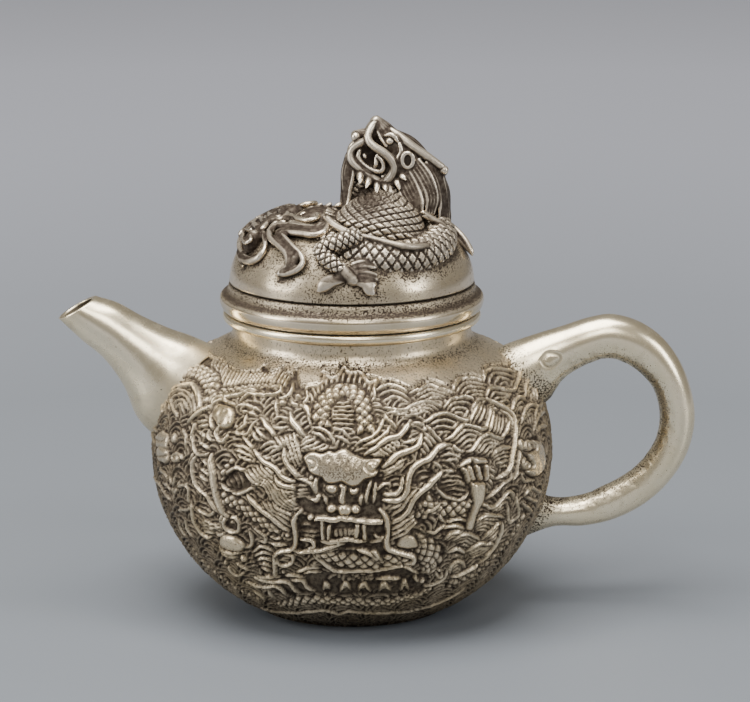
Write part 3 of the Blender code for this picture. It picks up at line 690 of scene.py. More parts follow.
def claw_left(relief):
    """The left claw, its hollow, its scaled leg and the blade beside it."""
    hollow = [(-34.4, 31.2), (-33, 33), (-31.4, 34), (-29.8, 34.2), (-28.4, 33.6), (-27.4, 32.2),
              (-26.5, 30.6), (-27.6, 29.9), (-29.4, 29.3), (-31.4, 29.2), (-33, 29.8)]
    relief.comb([(-31.6, 41), (-29, 41), (-26.6, 39.6), (-25.6, 38)],
                [(-30, 38.4), (-28.6, 37.6), (-25.8, 36.6)], 3, 0.75)
    relief.recess(hollow, GROUND * 1.25)
    relief.ridges([
        [(-33, 31.4), (-32.2, 30.2)],
        [(-32.4, 32.4), (-31.4, 31), (-31.2, 29.8)],
        [(-31.4, 33), (-30.2, 31.6), (-30, 29.8)],
        [(-30.2, 33.4), (-29, 31.8), (-28.8, 30)],
    ], 0.6, -0.5, 0.0)
    relief.ridge([(-34.4, 31.4), (-33.4, 33.2), (-31.6, 34.4), (-29.8, 34.8), (-28, 34.2),
                  (-26.6, 32.4)], 0.9)
    relief.ridge([(-34.4, 31), (-33.4, 29.4), (-31.6, 28.5), (-30, 28.4), (-28.4, 28.8),
                  (-26.8, 29.6), (-25.4, 29.8)], 1.0)
    for x, h in ((-33.8, 33.9), (-32.8, 35.4), (-31.6, 36.6)):
        relief.bead(x, h, 0.7, 0.1)
    relief.ridges([
        [(-40, 37.4), (-38.4, 36.2), (-37.2, 35)],
        [(-40.4, 35.2), (-38.4, 33.8), (-37, 32.6)],
        [(-40.4, 33.6), (-38.8, 32.2), (-37.6, 31.4)],
    ], 0.75)
    relief.band([(-33.6, 27, 1.7), (-31.6, 26.4, 1.8), (-29.6, 25.4, 1.8), (-27.6, 23.6, 1.7),
                 (-25.6, 22, 1.6), (-23.6, 20.8, 1.4), (-21.4, 19.4, 1.2), (-19.6, 18.2, 1.0)], 1.8,
                0.15, 1.7, 3)
    relief.ridge([(-40.6, 38.4), (-41.8, 36.6), (-42, 34.6), (-41.6, 32.6), (-40.8, 30.6),
                  (-39.4, 28.8), (-38, 27.6), (-36.8, 25.6), (-35.6, 24), (-34.6, 22.8)], 1.1, 0.1)
    relief.ridge([(-41.6, 43.4), (-41.8, 41), (-41.2, 39), (-40.2, 38.4), (-38.4, 38.4),
                  (-36.8, 39.2)], 0.9)
    relief.ridge([(-36.8, 38.4), (-37, 36.6), (-36.6, 34), (-36.3, 31), (-35.8, 28.4), (-35, 26),
                  (-33.9, 23.6), (-32.6, 22.4)], 2.1, 0.3, 0.5)
    relief.ridge([(-33.6, 23), (-34.2, 21.4), (-34, 20.2)], 0.9, 0.2, 0.2)


def far_left(relief):
    """Half-seen figures at the left edge."""
    relief.plate([(-51.4, 43.6), (-50, 44.8), (-48.6, 44.6), (-48, 43), (-48.2, 40), (-48, 37),
                  (-49, 36), (-50.6, 37), (-51, 40)], 0.1, 1.4, 0.4, 0.35)
    for line in ([(-51, 42.6), (-49.8, 42), (-48.6, 42.8)], [(-51, 40.4), (-49.6, 40.8), (-48.4, 40)],
                 [(-50.6, 38.4), (-49.4, 38), (-48.4, 38.6)]):
        relief.groove(line, 0.6, 0.6)
    relief.bead(-46.6, 42.6, 1.4, 0.25)
    relief.spiral(-46, 37.6, 1.4)
    chain = [(-40.6, 47.6), (-41.6, 45), (-42, 43), (-41.6, 40), (-42, 37.6), (-43, 36)]
    relief.ridge(chain, 1.0)
    relief.ridges([
        [(-40.6, 47), (-38, 47.6)],
        [(-40.2, 46), (-37.6, 46.4)],
        [(-40.6, 44.8), (-39, 43.8), (-38, 42.6)],
        [(-40.6, 42), (-39, 41.2), (-37.2, 39.8)],
        [(-55, 49), (-52.6, 46), (-51, 44.6)],
        [(-54, 46.4), (-52.4, 44), (-51.6, 41)],
        [(-44.6, 45.4), (-43.6, 43), (-43.8, 40)],
        [(-52.4, 33.4), (-50.6, 31), (-49, 28.6), (-47.4, 26.4)],
        [(-48, 33.6), (-47.2, 31), (-46.8, 28.4), (-46.6, 26.4)],
        [(-50.4, 34.6), (-48.8, 33.4), (-48, 31.4)],
        [(-49.6, 31.6), (-48, 30), (-47.2, 28)],
        [(-46, 33.4), (-46.6, 31.6), (-47, 30)],
        [(-45, 31.8), (-46, 29.8), (-46.6, 28)],
        [(-46, 30.2), (-44.2, 30.4), (-43, 29.8), (-42.8, 27), (-42.2, 25.6), (-43, 24), (-45.6, 24)],
        [(-41, 24.6), (-39.2, 23.4), (-37.6, 22.7), (-36.2, 23.4), (-35.8, 24)],
        [(-45.4, 22), (-44.6, 19), (-42.8, 16.6)],
        [(-43.8, 22), (-43, 19), (-41.2, 16.6)],
    ], 0.85, 0.0, 0.3)
    relief.ridge([(-42, 26), (-41.8, 23), (-41.2, 20.6), (-40, 18.6), (-38.4, 17), (-36.6, 17.2)],
                 1.0, 0.1)
    relief.comb([(-39.4, 20.6), (-38.2, 20.9), (-36.4, 20), (-34.4, 19.4), (-33, 18.4)],
                [(-39, 18.6), (-37.6, 18.4), (-35.6, 17.6)], 4, 0.7)


def centre_arch(relief):
    """The arched body over the face, with its fin, belly and beard of flames."""
    fin = [(-11.8, 56.3), (-8, 57.5), (-7, 59.5), (-5, 58.6), (-3.5, 59.6), (-2, 61.7), (-0.8, 60.5),
           (2.5, 60.2), (3.6, 58.6), (4.6, 57.6), (6.8, 58.3), (5.9, 56.5), (6, 54.5)]
    inner = [(-9.4, 51), (-9.2, 53.6), (-7.4, 56.4), (-5, 57.9), (-2, 58.4), (1, 58), (3.4, 56.6),
             (5, 54.2), (5.6, 52)]
    relief.recess(fin + inner[::-1])
    relief.rungs([(-9.4, 52), (-8.6, 55), (-7, 57), (-4, 58.2), (-1, 58.4), (2, 57.8), (4.2, 56.2),
                  (5.4, 53)], [(-11, 54.6), (-9.4, 57), (-7, 59), (-4, 59.2), (-1, 60.4), (2.6, 59.6),
            (4.8, 57.4), (6.2, 54.4)], 15, 0.6, -0.1)
    relief.ridge(fin, 0.8, 0.05, 0.3, taper=False)
    relief.recess([(-5.6, 46), (-5.6, 50.5), (-4.6, 52.8), (-2.6, 53.9), (-0.6, 53), (0.5, 50.6),
                   (0.6, 46)], GROUND * 1.2)
    for h, low, high in ((52.6, -3.9, -0.9), (51.5, -4.7, -0.1), (50.4, -5, 0.2), (49.3, -5.1, 0.3),
            (48.2, -5.1, 0.3), (46.9, -5, 0.3), (45.7, -4.6, 0.1)):
        relief.ridge([(low, h), ((low + high) / 2, h - 0.25), (high, h)], 0.65, -0.25, 0.0,
                     taper=False)
    relief.ridge([(-5.3, 46.4), (-5.5, 48.6), (-5.4, 50.5), (-5, 52)], 0.7, 0.05, 0.1)
    relief.band([(-7.6, 46.5), (-8.2, 49.5), (-7, 53), (-4, 55.6), (-0.5, 55.9), (2.2, 53.8),
                 (3.2, 50.5), (3.6, 47), (3.8, 45.4)], 2.25, 0.3, 1.7, 3)
    relief.bead(-8.2, 47.0, 0.8, 0.35)
    relief.ridges([
        [(-10.6, 46), (-8, 45.4), (-6, 44.2), (-4.8, 42.6), (-4.9, 41.6)],
        [(-10.6, 44.6), (-8.4, 43.8), (-6.8, 42.4)],
        [(-4.6, 45), (-2.8, 44.9), (-1.4, 44), (-0.2, 42.8)],
        [(-4.2, 43.4), (-2, 42.4), (-0.6, 41.4)],
        [(8.6, 49), (7.8, 46.6), (6.6, 44.6), (4.6, 43), (2.4, 42.2), (0.8, 41)],
        [(10, 46.4), (9.2, 44.6), (7.4, 43), (5, 42), (3, 41)],
        [(-13.4, 42), (-11.2, 43.6)],
        [(-13.6, 41), (-10, 42.9)],
        [(-13.2, 40.2), (-10.6, 41), (-8.8, 42.4)],
        [(-12, 39.6), (-9.4, 40.2), (-7.4, 41.7)],
        [(-9.6, 39.3), (-7.6, 40), (-6.4, 41.2)],
    ], 0.85, 0.05, 0.3)
    relief.rungs([(4, 39.4), (6.5, 40.8), (9, 42.6), (11, 44)], [(7.6, 37.8), (9.8, 38.8), (12, 40.4),
            (13.6, 42)], 8, 0.6, -0.05)
    relief.ridge([(8.5, 49.4), (9.2, 48), (11.8, 45.9)], 1.0, 0.1)


def flames_right(relief):
    """Flames and hair that stream right from the face."""
    relief.recess([(12.8, 42.8), (14.4, 43), (15.8, 44.6), (15.4, 46.2), (13.8, 45)], GROUND * 1.2)
    relief.ridge([(15.4, 47.6), (14.6, 45.8), (12.6, 43.8), (10, 43), (6, 40.5), (3.4, 38.8)], 1.5,
                 0.2, 0.4)
    relief.ridge([(13, 41.6), (15.5, 42.2), (18, 43.4), (19.4, 45.8), (19, 46.5), (17.2, 47),
                  (15.6, 46.6)], 1.0, 0.1)
    relief.ridges([
        [(19, 44.6), (22.6, 41)],
        [(18.8, 43.4), (21.8, 40.2)],
        [(18.6, 41.8), (20.8, 39)],
        [(18.2, 40.2), (19.6, 38.6)],
        [(19.6, 46.5), (21, 44.6), (23, 42.6), (24.2, 41.4)],
    ], 0.8)
    relief.comb([(15.4, 39.9), (13, 39), (10.6, 37.6), (8.8, 35.6)], [(13.6, 36.4), (12.2, 35.4),
            (10.4, 34.2), (8.6, 33)], 4, 0.8)
    relief.ridge([(18.4, 44), (17.8, 42), (17, 40.6), (15.6, 39.8), (13.6, 39.2), (11.6, 38),
                  (9.8, 36.6), (8.2, 35.4)], 1.7, 0.25, 0.4)
    relief.recess([(15.8, 32.4), (17, 34.8), (19, 35), (21.4, 34.6), (21.8, 33.4), (20.2, 32),
                   (18.2, 31), (16, 30.6)])
    relief.comb([(16.4, 32.6), (18, 34), (20.6, 34.2)], [(17.6, 31.6), (19, 32.4), (20.8, 33)], 2,
                0.6, -0.35, 0.0)
    relief.ridge([(19.4, 30.2), (16.6, 28.8), (14.4, 26.6), (12.8, 24.4), (10.4, 22.4)], 1.0)
    relief.ridge([(13.2, 26.2), (11.6, 25), (9.8, 24.2)], 0.9)
    relief.ridge([(14.4, 34), (13.6, 32), (13.2, 30.4), (12.2, 28.8), (10.6, 28), (8.4, 28.2)], 1.1,
                 0.1)
    relief.comb([(16.2, 23.6), (14, 22.2), (11.8, 21), (10, 20.2)], [(17.8, 21.6), (15.8, 19.8),
            (13.8, 18), (11.4, 16.8), (10.2, 16)], 4, 0.85)
    relief.ridge([(23.8, 34.2), (22.4, 32.8), (20.6, 31.2), (19, 29.4), (17.4, 28), (16, 26.4),
                  (15, 24.6), (14, 23.2), (12.8, 21.8), (11, 20.8), (9.8, 20.4)], 1.5, 0.2, 0.4)
    relief.ridge([(26, 41.2), (24.2, 41), (22.6, 40), (21.4, 38.4), (20, 37.2), (18.4, 36.6),
                  (17.4, 36), (16, 34.8), (15, 33), (14.6, 31), (14.4, 29), (13.2, 27.4),
                  (11.6, 26.6), (9.8, 26.6), (8.2, 26.9)], 1.6, 0.25, 0.4)
    relief.ridges([
        [(24, 34.6), (22.8, 35.6), (21.6, 36.6)],
        [(24, 34.5), (26, 34.5), (28, 34.2)],
    ], 0.9)


def claw_right(relief):
    """The right claw with its fingers and scaled leg."""
    relief.band([(18.4, 22.6, 1.6), (19.4, 25.4, 1.9), (20.6, 27.6, 1.4)], 1.8, 0.05, 1.6, 3)
    relief.band([(20, 26.2, 1.6), (22, 24.6, 2), (24.4, 24.3, 2.1), (27, 24.4, 2.1),
                 (29.6, 24.9, 1.8), (31.2, 25.6, 1.4)], 2.0, 0.2, 1.8, 3)
    relief.recess(circle(26.8, 30.4, 4.1, 3.3), GROUND * 1.2)
    relief.ridges([
        [(22.8, 32.4), (25.4, 33.2), (28, 32.8), (30, 32)],
        [(23, 31.2), (25.6, 31.9), (28.4, 31.5), (30.4, 30.8)],
        [(24, 30), (26, 30.8), (28.6, 30.7), (30.6, 30)],
        [(25, 29), (27, 29.5), (29, 29.2), (30.6, 28.8)],
        [(26, 28), (28, 28.2), (29.6, 28)],
    ], 0.6, -0.4, 0.0)
    relief.ridge([(22, 30), (23.4, 28.8), (24.8, 27.4), (26.6, 26.8), (28.4, 26.9), (29.8, 27.6),
                  (30.8, 28.6)], 0.9)
    relief.recess([(27.4, 34.6), (29, 37.6), (32.6, 38.8), (35.8, 37.6), (36, 33), (35, 30.4),
                   (31.4, 30)])
    relief.ridges([
        [(31.2, 30.6), (30.6, 32.6), (29.6, 34.6), (28.4, 35.6), (27.4, 34.4)],
        [(32.2, 31), (31.6, 33), (30.8, 35.2), (30.2, 36.6), (31.4, 37.6)],
        [(33.8, 31.2), (33.4, 33.4), (33, 35.8), (32.6, 37.4)],
        [(34.8, 31), (35.2, 33), (35.2, 35), (34.8, 37), (33.8, 38.2)],
    ], 1.2, 0.25, 0.3)
    relief.plate([(27.6, 34.6), (29, 36.6), (31, 38), (33, 38.2), (35, 37.8), (35.6, 36.4),
                  (34, 36.3), (32, 36.4), (30, 35.9)], 0.25, 0.6, 0.3)
    relief.bead(31.5, 36.9, 0.35, -0.9, 0.2)
    relief.plate([(31.4, 31.4), (34.8, 31.2), (34.8, 28.2), (33.9, 25.6), (32.7, 22.6), (31.9, 20.4),
                  (31.4, 18.8), (30, 18.8), (30.2, 20.4), (30.9, 22.8), (31.6, 25.6), (31.4, 28.4)],
                 0.3, 1.0, 0.5)
    relief.ridges([
        [(19, 23.2), (20.6, 23.8), (22.4, 24.6), (23.4, 25.8)],
        [(24.6, 20.4), (23, 19.2), (21.6, 18), (20, 18.4)],
        [(24.6, 20.6), (23.4, 21.6), (22.8, 22.8)],
    ], 0.9, 0.1)


def right_edge_face(relief):
    """The half-seen head beside the handle."""
    relief.plate([(47.6, 42.4), (49, 42), (50, 40), (50.4, 37.6), (50, 35), (49, 33.4), (47.6, 32.6),
                  (46.2, 33.4), (45.6, 34.4), (46.6, 36.4), (46.4, 38), (45.2, 38.6), (44, 40),
                  (43.4, 41.2), (44.2, 42.8), (45.4, 42)], 0.2, 0.8, 0.5)
    relief.spiral(46.4, 40.5, 1.5)
    relief.spiral(45.8, 36, 1.3, start=2.0)
    relief.ridges([
        [(44.6, 33.6), (45, 32.2), (45.6, 31.3), (46.4, 31.6), (48, 31.8)],
        [(46.6, 30.4), (48, 29.4), (49.6, 29)],
        [(45.2, 27.6), (46.4, 29.4), (47.2, 30.2)],
        [(44.6, 26), (46, 24.6), (47.4, 24)],
        [(46, 27.4), (47.4, 26.6), (48.6, 26.6)],
    ], 0.9, 0.05)


def face(relief):
    """The full dragon face in the middle."""
    relief.recess([(-14.8, 32.8), (-11, 31.6), (-8.4, 32), (-5, 30.4), (-0.4, 30), (3, 31), (7, 33),
                   (9, 30.6), (8, 27), (8.2, 24), (6, 22), (-1, 22.4), (-9, 22.4), (-13, 23.6),
                   (-15, 27)])
    for h in (30.4, 29.2, 28.3, 27.4):
        relief.ridge([(-15.2, h - 0.3), (-13.4, h), (-11.2, h + 0.1)], 0.6, -0.35, 0.0)
    relief.ridge([(-14.6, 32.4), (-12.4, 31.8), (-11, 31.2), (-10, 30), (-9.4, 28.8), (-8.6, 27.6),
                  (-9.4, 26.6), (-11.6, 26.9)], 1.1, 0.1)
    relief.ridges([
        [(-9.6, 33), (-9.5, 30.5), (-9, 28.5)],
        [(4.9, 32), (4.5, 29.5), (3.6, 27), (3.8, 25.8)],
        [(6.3, 31), (6, 28.5), (5.5, 26)],
        [(6.6, 29), (8.4, 30.6), (9.8, 30.8), (10.2, 29.8)],
        [(-7.4, 28), (-6.8, 26.6), (-6.6, 25.6)],
        [(2.6, 28.2), (2.2, 26.6), (2.4, 25.4)],
    ], 0.9, 0.05)
    relief.ridge([(-2.6, 31.6), (-2.4, 28), (-2.2, 25)], 1.5, 0.35, 0.4, taper=False)
    for x, h, size in ((-5.5, 29.5, 1.35), (0.6, 29.4, 1.25)):
        relief.plate(circle(x, h, size + 0.8, size + 0.75), -0.35, 0.6, 0.2)
        relief.bead(x, h, size, 0.35, 0.35)
    relief.bead(-5.4, 24.3, 1.15, 0.35, 0.3)
    relief.bead(0.9, 24.1, 1.2, 0.35, 0.3)
    relief.bead(-2.1, 23.9, 1.7, 0.5, 0.3)
    relief.plate([(-12.6, 38), (-11, 39), (-9.4, 39.1), (-8, 38.8), (-6.8, 39.4), (-5.8, 39.6),
                  (-5, 39), (-4, 39.7), (-2.4, 40.1), (-1, 39.7), (0.6, 38.8), (2, 38.2), (3.6, 37.7),
                  (5.4, 37.6), (7.6, 37.7), (8, 37.2), (7.4, 36.2), (6.6, 35), (6.9, 34), (6, 32.8),
                  (4.4, 32.3), (3, 31.9), (2, 30.8), (0.8, 30.4), (-0.4, 30.5), (-1.6, 31),
                  (-2.6, 31.6), (-3.8, 31.2), (-5.2, 31.1), (-6.8, 31.3), (-7.8, 32.6), (-9, 33),
                  (-10, 33.3), (-11.6, 34.3), (-12.2, 35.6), (-12.6, 36.8)], 0.25, 0.9, 0.55, 0.3)
    relief.groove([(-11, 37.2), (-10.1, 37), (-9.6, 36.1), (-9.9, 35.1), (-10.9, 34.9)], 0.5, 0.8)
    relief.groove([(6, 36.6), (5, 37), (4, 36.4), (3.8, 35.2), (4.4, 34.3), (5.6, 34), (6.4, 34.8)],
                  0.5, 0.8)
    relief.bead(5.1, 35.3, 0.9, 0.6, 0.0)
    relief.stipple([(-9.4, 38), (-6, 38.6), (-2.4, 39), (1, 38), (3, 37), (3, 33.4), (1.2, 32),
                    (-1, 31.8), (-4, 32), (-7, 32.4), (-8.8, 34)])
    relief.bead(-10.9, 32.6, 0.6, 0.2)


def mouth(relief):
    """The open mouth with its teeth, and the whiskers that hang from its corners."""
    relief.recess([(-14.6, 16), (-14.4, 20.6), (-12.6, 21.6), (-9, 21.2), (0, 21), (8.6, 20.8),
                   (9, 17), (8.6, 14), (5, 13.6), (-9, 14), (-13.4, 13.6)], GROUND * 1.1)
    relief.ridges([
        [(-13.4, 19.6), (-11.6, 20.3), (-10, 19.4)],
        [(-13.8, 18.2), (-11, 18), (-8.6, 18.2)],
        [(-13.4, 17.2), (-11, 17), (-8.6, 17)],
        [(-12.8, 15.6), (-11.8, 14.8), (-12.6, 13.8)],
    ], 0.7, -0.4, 0.0)
    relief.recess([(-5.4, 19.6), (0.6, 19.6), (1, 16.8), (-5.4, 16.8)], GROUND)
    for x in (-4.2, -2.9, -1.7, -0.6, 0.4):
        relief.ridge([(x, 18.6), (x + 0.1, 17.4)], 0.7, -0.3, 0.0, taper=False)
    relief.ridge([(-6, 19.8), (-6.1, 18), (-6.2, 16.6)], 0.9, 0.05, 0.2, taper=False)
    relief.ridge([(1.5, 20), (1.5, 18.4), (1.3, 17)], 1.0, 0.05, 0.2, taper=False)
    relief.ridge([(-7.9, 20.8), (-7.7, 18), (-7.6, 15.8)], 0.8, 0.1, 0.3, taper=False)
    relief.ridge([(3.1, 20.6), (3.2, 18.2), (3.6, 15.6)], 0.9, 0.1, 0.3, taper=False)
    relief.ridge([(-8, 15.6), (-4, 15.9), (-1.6, 16.3), (0.4, 15.9), (3.8, 15.4)], 1.3, 0.1, 0.4)
    relief.recess(circle(7.4, 18.8, 1.3, 1.6), GROUND * 1.2)
    relief.ridge([(6, 17.6), (6.6, 16.9), (7.6, 16.7), (8.8, 17.4)], 0.9, 0.2, 0.1)
    relief.ridge([(4.8, 15.4), (6.4, 16), (8.4, 16)], 0.8, 0.0)
    relief.ridge([(-13.6, 16.2), (-11, 16.1), (-10, 14.6), (-11.8, 13.2), (-14, 12.8)], 1.0, 0.1)
    relief.ridge([(-10.6, 21.7), (-8, 21.7), (-6, 21.5), (-4.4, 21.4), (-2.6, 21.9), (-1.2, 21.5),
                  (1, 21.2), (4, 20.9), (7, 20.9), (8.8, 21)], 1.4, 0.3, 0.35, taper=False)
    relief.bead(-10.9, 22, 0.8, 0.3)
    relief.ridge([(-13.4, 24.2), (-14.6, 23), (-15.2, 21), (-15.2, 19), (-14.8, 17), (-14.6, 15),
                  (-15.4, 13.9), (-17.6, 13.5), (-19, 13), (-19.9, 12), (-20.2, 10), (-20.1, 8),
                  (-19.9, 6.6), (-19, 6.4)], 1.2, 0.35, 0.45)
    relief.ridge([(-15.2, 13.2), (-13, 12.9), (-10.4, 13.1), (-7, 14), (-4, 14.9), (-2, 15.3)], 1.0,
                 0.2, 0.3)
    relief.ridge([(-19.6, 11.2), (-18.8, 9.7), (-17, 9.4), (-15.8, 10.4), (-15.6, 11.7),
                  (-16.6, 12.4), (-17.8, 12.3)], 0.9, 0.2, 0.3)
    relief.ridge([(7.4, 24.4), (8.6, 22.8), (9.2, 21), (9.4, 18.5), (9.2, 16), (9.6, 14), (10.8, 13),
                  (12.6, 12.6), (14.6, 12.2), (16, 11.7), (16.5, 10.9), (15.8, 10.1), (14, 9.9)], 1.3,
                 0.35, 0.45)


def under_jaw(relief):
    """The scaled throat under the jaw."""
    relief.recess([(-10, 12.6), (-2, 15), (4, 14.8), (9, 13.4), (16, 12), (17, 9.6), (12, 9.2),
                   (2, 7.8), (-5, 8.2)])
    relief.band([(-8.8, 12.6, 1.4), (-6, 11.7, 1.9), (-3, 10.9, 2.2), (0, 10.5, 2.3), (4, 10.2, 2.3),
                 (8, 10.4, 2.2), (12, 10.9, 1.9), (15, 11.1, 1.4)], 2.0, 0.2, 2.0, 3)
    relief.ridge([(-10.4, 12.3), (-8, 10.5), (-6, 8.9), (-4, 8.1), (-1, 7.8), (3, 7.9), (6, 8.2),
                  (9, 8.7), (12, 9.2), (14.6, 8.8), (16, 8), (17.4, 7.2)], 0.8, 0.1, 0.3)
    relief.ridges([
        [(-9.4, 12.9), (-6.5, 13.5), (-3, 14), (0, 13.7), (3, 13)],
        [(-1.8, 15), (-0.4, 14.2), (1, 13.6)],
        [(0.2, 15.1), (1.6, 14.2), (3, 13.4)],
        [(2.2, 14.9), (3.6, 14), (5, 13)],
    ], 0.7, 0.0, 0.2)
    relief.ridges([
        [(1, 13.9), (3.6, 13.1), (5.8, 12.1), (7.4, 10.9), (8.2, 10.1)],
        [(3.9, 15.1), (5.4, 13.7), (6.8, 12.2), (7.8, 10.8)],
    ], 1.1, 0.3, 0.3)


def foot_rows(relief):
    """Coils, spikes and small waves round the foot."""
    relief.recess([(-19, 6.4), (-10, 8.4), (-4, 7.4), (6, 7.8), (15, 8.2), (17.4, 6.6), (20, 4),
                   (14, 2), (0, 1.8), (-12, 2), (-18, 1.4), (-22, 4)])
    rng = np.random.default_rng(3)
    for _ in range(46):
        relief.bead(rng.uniform(-7, 5.6), rng.uniform(5.4, 7.2), rng.uniform(0.25, 0.45), -0.25, 0.1)
    for _ in range(30):
        relief.bead(rng.uniform(-3, 16), rng.uniform(2.2, 7), rng.uniform(0.25, 0.4), -0.6, 0.0)
    for points in ([(-7.6, 3), (-6.8, 4.7), (-6, 3.2)], [(-3.2, 2.6), (-1.8, 4.9), (-0.4, 3)],
                   [(1.8, 2.8), (3.2, 4.8), (5, 2.6)], [(7.4, 2.8), (8.4, 4.8), (10, 2.8)],
                   [(12.8, 3), (13.6, 5.4), (15, 3)]):
        relief.ridge(points, 0.95, 0.1, 0.3)
        relief.bead(points[1][0], points[1][1] - 1.0, 0.5, 0.0, 0.0)
    relief.ridges([
        [(6.4, 5.8), (9, 6.1), (12.6, 5.9)],
        [(16.7, 7.4), (16.6, 6), (18, 5)],
        [(-17.6, 6.6), (-15, 6.8), (-12.6, 6.3)],
        [(-14.6, 7.7), (-12, 8.5), (-9.6, 8.9), (-8, 8.6)],
        [(-12.6, 7.3), (-10.4, 7.8), (-8, 7.6)],
        [(-16, 5.5), (-13, 5.6), (-12.2, 4.2), (-11, 3.2), (-9.6, 2.6)],
        [(-26, 6.4), (-23, 5.4), (-20.6, 5), (-17, 5), (-16, 4.2), (-15, 3), (-13.6, 2.2)],
        [(-28, 5.2), (-25, 4.2), (-22.6, 3.8), (-20, 3.9), (-18.4, 3), (-17.4, 1.8), (-16.8, 1.4)],
        [(-22, 3), (-21.2, 1.8), (-20, 0.8)],
        [(-26, 3), (-24, 1.8), (-22.6, 0.4)],
        [(20.4, 8.2), (22.4, 8.1), (24, 8)],
        [(22, 7.6), (22.6, 6.4), (23.6, 6.6), (23.6, 7.6)],
        [(25, 8.6), (24.6, 6.8), (23.4, 5.6), (21.4, 4.6), (20, 4.2), (19, 3.9)],
        [(-24.6, 6.4), (-22, 6.2), (-20, 6.2)],
        [(-25.6, 11), (-24.8, 9.6), (-24.1, 8.2), (-23.9, 7)],
    ], 0.85, 0.1, 0.3)
    relief.bead(18.4, 5.4, 0.8, 0.1)
    relief.bead(-18, 7.5, 0.6, 0.0)
    relief.recess([(-27, 13.4), (-24, 15), (-21, 14.6), (-20, 12.6), (-20.8, 7.4), (-23.6, 7.4)])
    relief.comb([(-26.4, 12.8), (-24, 14.2), (-21.8, 13.8), (-20.6, 12.8)],
                [(-24, 8.8), (-22.6, 8.6), (-21.2, 7.6)], 5, 0.75)
    relief.band([(-41.4, 13.4), (-39, 10.6), (-36.6, 8.4), (-34, 6.2), (-31, 4), (-28, 2.4),
                 (-25.5, 1.2), (-23, 0.2)], 1.1, 0.05, 1.5, 2)
    relief.band([(-18.6, -0.8, 1.0), (-14, 0, 1.7), (-10, 0.3, 1.9), (-6, 0.1, 1.9), (0, -0.2, 1.8),
                 (6, -0.4, 1.7), (10, 0, 1.6), (14, 0.8, 1.4), (17, 1.7, 1.2), (20.6, 3.4, 0.9)], 1.8,
                0.2, 1.7, 3)
    relief.band([(16.2, 16.6, 1.6), (18.2, 15.4, 2.6), (20, 13.4, 3.2), (20.9, 11.2, 3.3),
                 (20.6, 9.2, 2.8), (19.6, 7.6, 1.8)], 3.2, 0.2, 2.0, 4)
    relief.plate([(12.6, 16.6), (14.4, 17.6), (17, 16.8), (17.6, 14.8), (16, 13.8), (12, 14.2)], 0.0,
                 1.0, 0.3)
    relief.ridge([(-24, -1.6), (-20, -2.6), (-14, -2.9), (-8, -2.4), (-5.6, -2.6), (-3, -3.2),
                  (-1.2, -2.6), (2, -2.9), (8, -3), (14, -2.6), (19, -1.6), (23, -0.2), (27, 1.8),
                  (30, 4)], 0.9, 0.0, 0.35)


def shell_head(relief):
    """The small shell head at the lower left."""
    relief.plate(circle(-31.4, 15.2, 3.7, 1.9, tilt=-20), 0.3, 1.2, 0.5, 0.2)
    relief.ridges([
        [(-35.4, 15.2), (-33.8, 13.2), (-31.4, 12.5), (-28.6, 12.7)],
        [(-35, 13.6), (-33, 12.1), (-30, 11.5)],
        [(-36, 18.4), (-34.8, 17.4), (-33, 17.9)],
        [(-27, 18.6), (-26.2, 17), (-26.4, 15), (-28, 14)],
        [(-26, 19.2), (-24.4, 18.2), (-22.8, 16.8), (-22.6, 15.6), (-24.6, 15.6)],
        [(-21.6, 17), (-20, 16.4), (-18.4, 16.6), (-17, 16)],
        [(-22, 15.4), (-19.6, 14.9), (-17, 14.8)],
        [(-30.6, 10), (-28.6, 9), (-26.6, 7.8)],
        [(-32.8, 9.8), (-31.6, 8), (-29.8, 6.8), (-28, 7.4)],
    ], 0.85, 0.0, 0.3)
    relief.bead(-28.4, 11.2, 1.0, 0.25)
    relief.bead(-18.4, 17.4, 0.7, 0.1)
    relief.bead(-17, 17.2, 0.6, 0.1)
    relief.bead(-33.2, 10.2, 0.7, 0.1)
    ring = [(-33.6, 20.4), (-32.6, 22), (-30.6, 22), (-29.8, 20.6), (-30, 18.6), (-31.4, 18),
            (-32.8, 18.8), (-33.6, 20.4)]
    relief.recess(ring)
    relief.ridge(ring, 0.9, 0.1, 0.3, taper=False)
    relief.ridge([(-32, 20.2), (-31.2, 20.8), (-30.8, 20)], 0.7, -0.2, 0.0)


def shoulder(relief, rng):
    """The smooth shoulder above the relief, with pits along its edge."""
    outline = BORDER + [(70, 95), (-75, 95)]
    area, dist, _, _, _ = relief.near(BORDER, 5.0)
    field = np.full(relief.height.shape, 99.0)
    field[area] = dist
    track = np.array(outline, float)
    flags = np.zeros(relief.height.shape, bool)
    px, ph = relief.x, relief.h
    closed = np.vstack([track, track[:1]])
    for (x1, h1), (x2, h2) in zip(closed[:-1], closed[1:]):
        if h1 != h2:
            flags ^= ((h1 > ph) != (h2 > ph)) & (px < x1 + (ph - h1) * (x2 - x1) / (h2 - h1))
    level = relief.line[:, 1][:, None] + 0 * relief.turn
    flags = np.where(relief.facing, flags, level > 53.0)
    rim = np.sqrt(np.clip(1 - (1 - np.clip(field / 0.9, 0, 1)) ** 2, 0, 1))
    relief.height = np.where(flags, GROUND * 0.75 * (1 - rim) + 0.05 * rim, relief.height)
    pits = np.zeros(relief.height.shape)
    fade = np.exp(-field / 1.8) * flags
    seeds = rng.random(relief.height.shape) < 0.10 * fade + 0.0006 * flags
    pits[seeds] = rng.uniform(0.3, 0.9, seeds.sum())
    return flags, pits


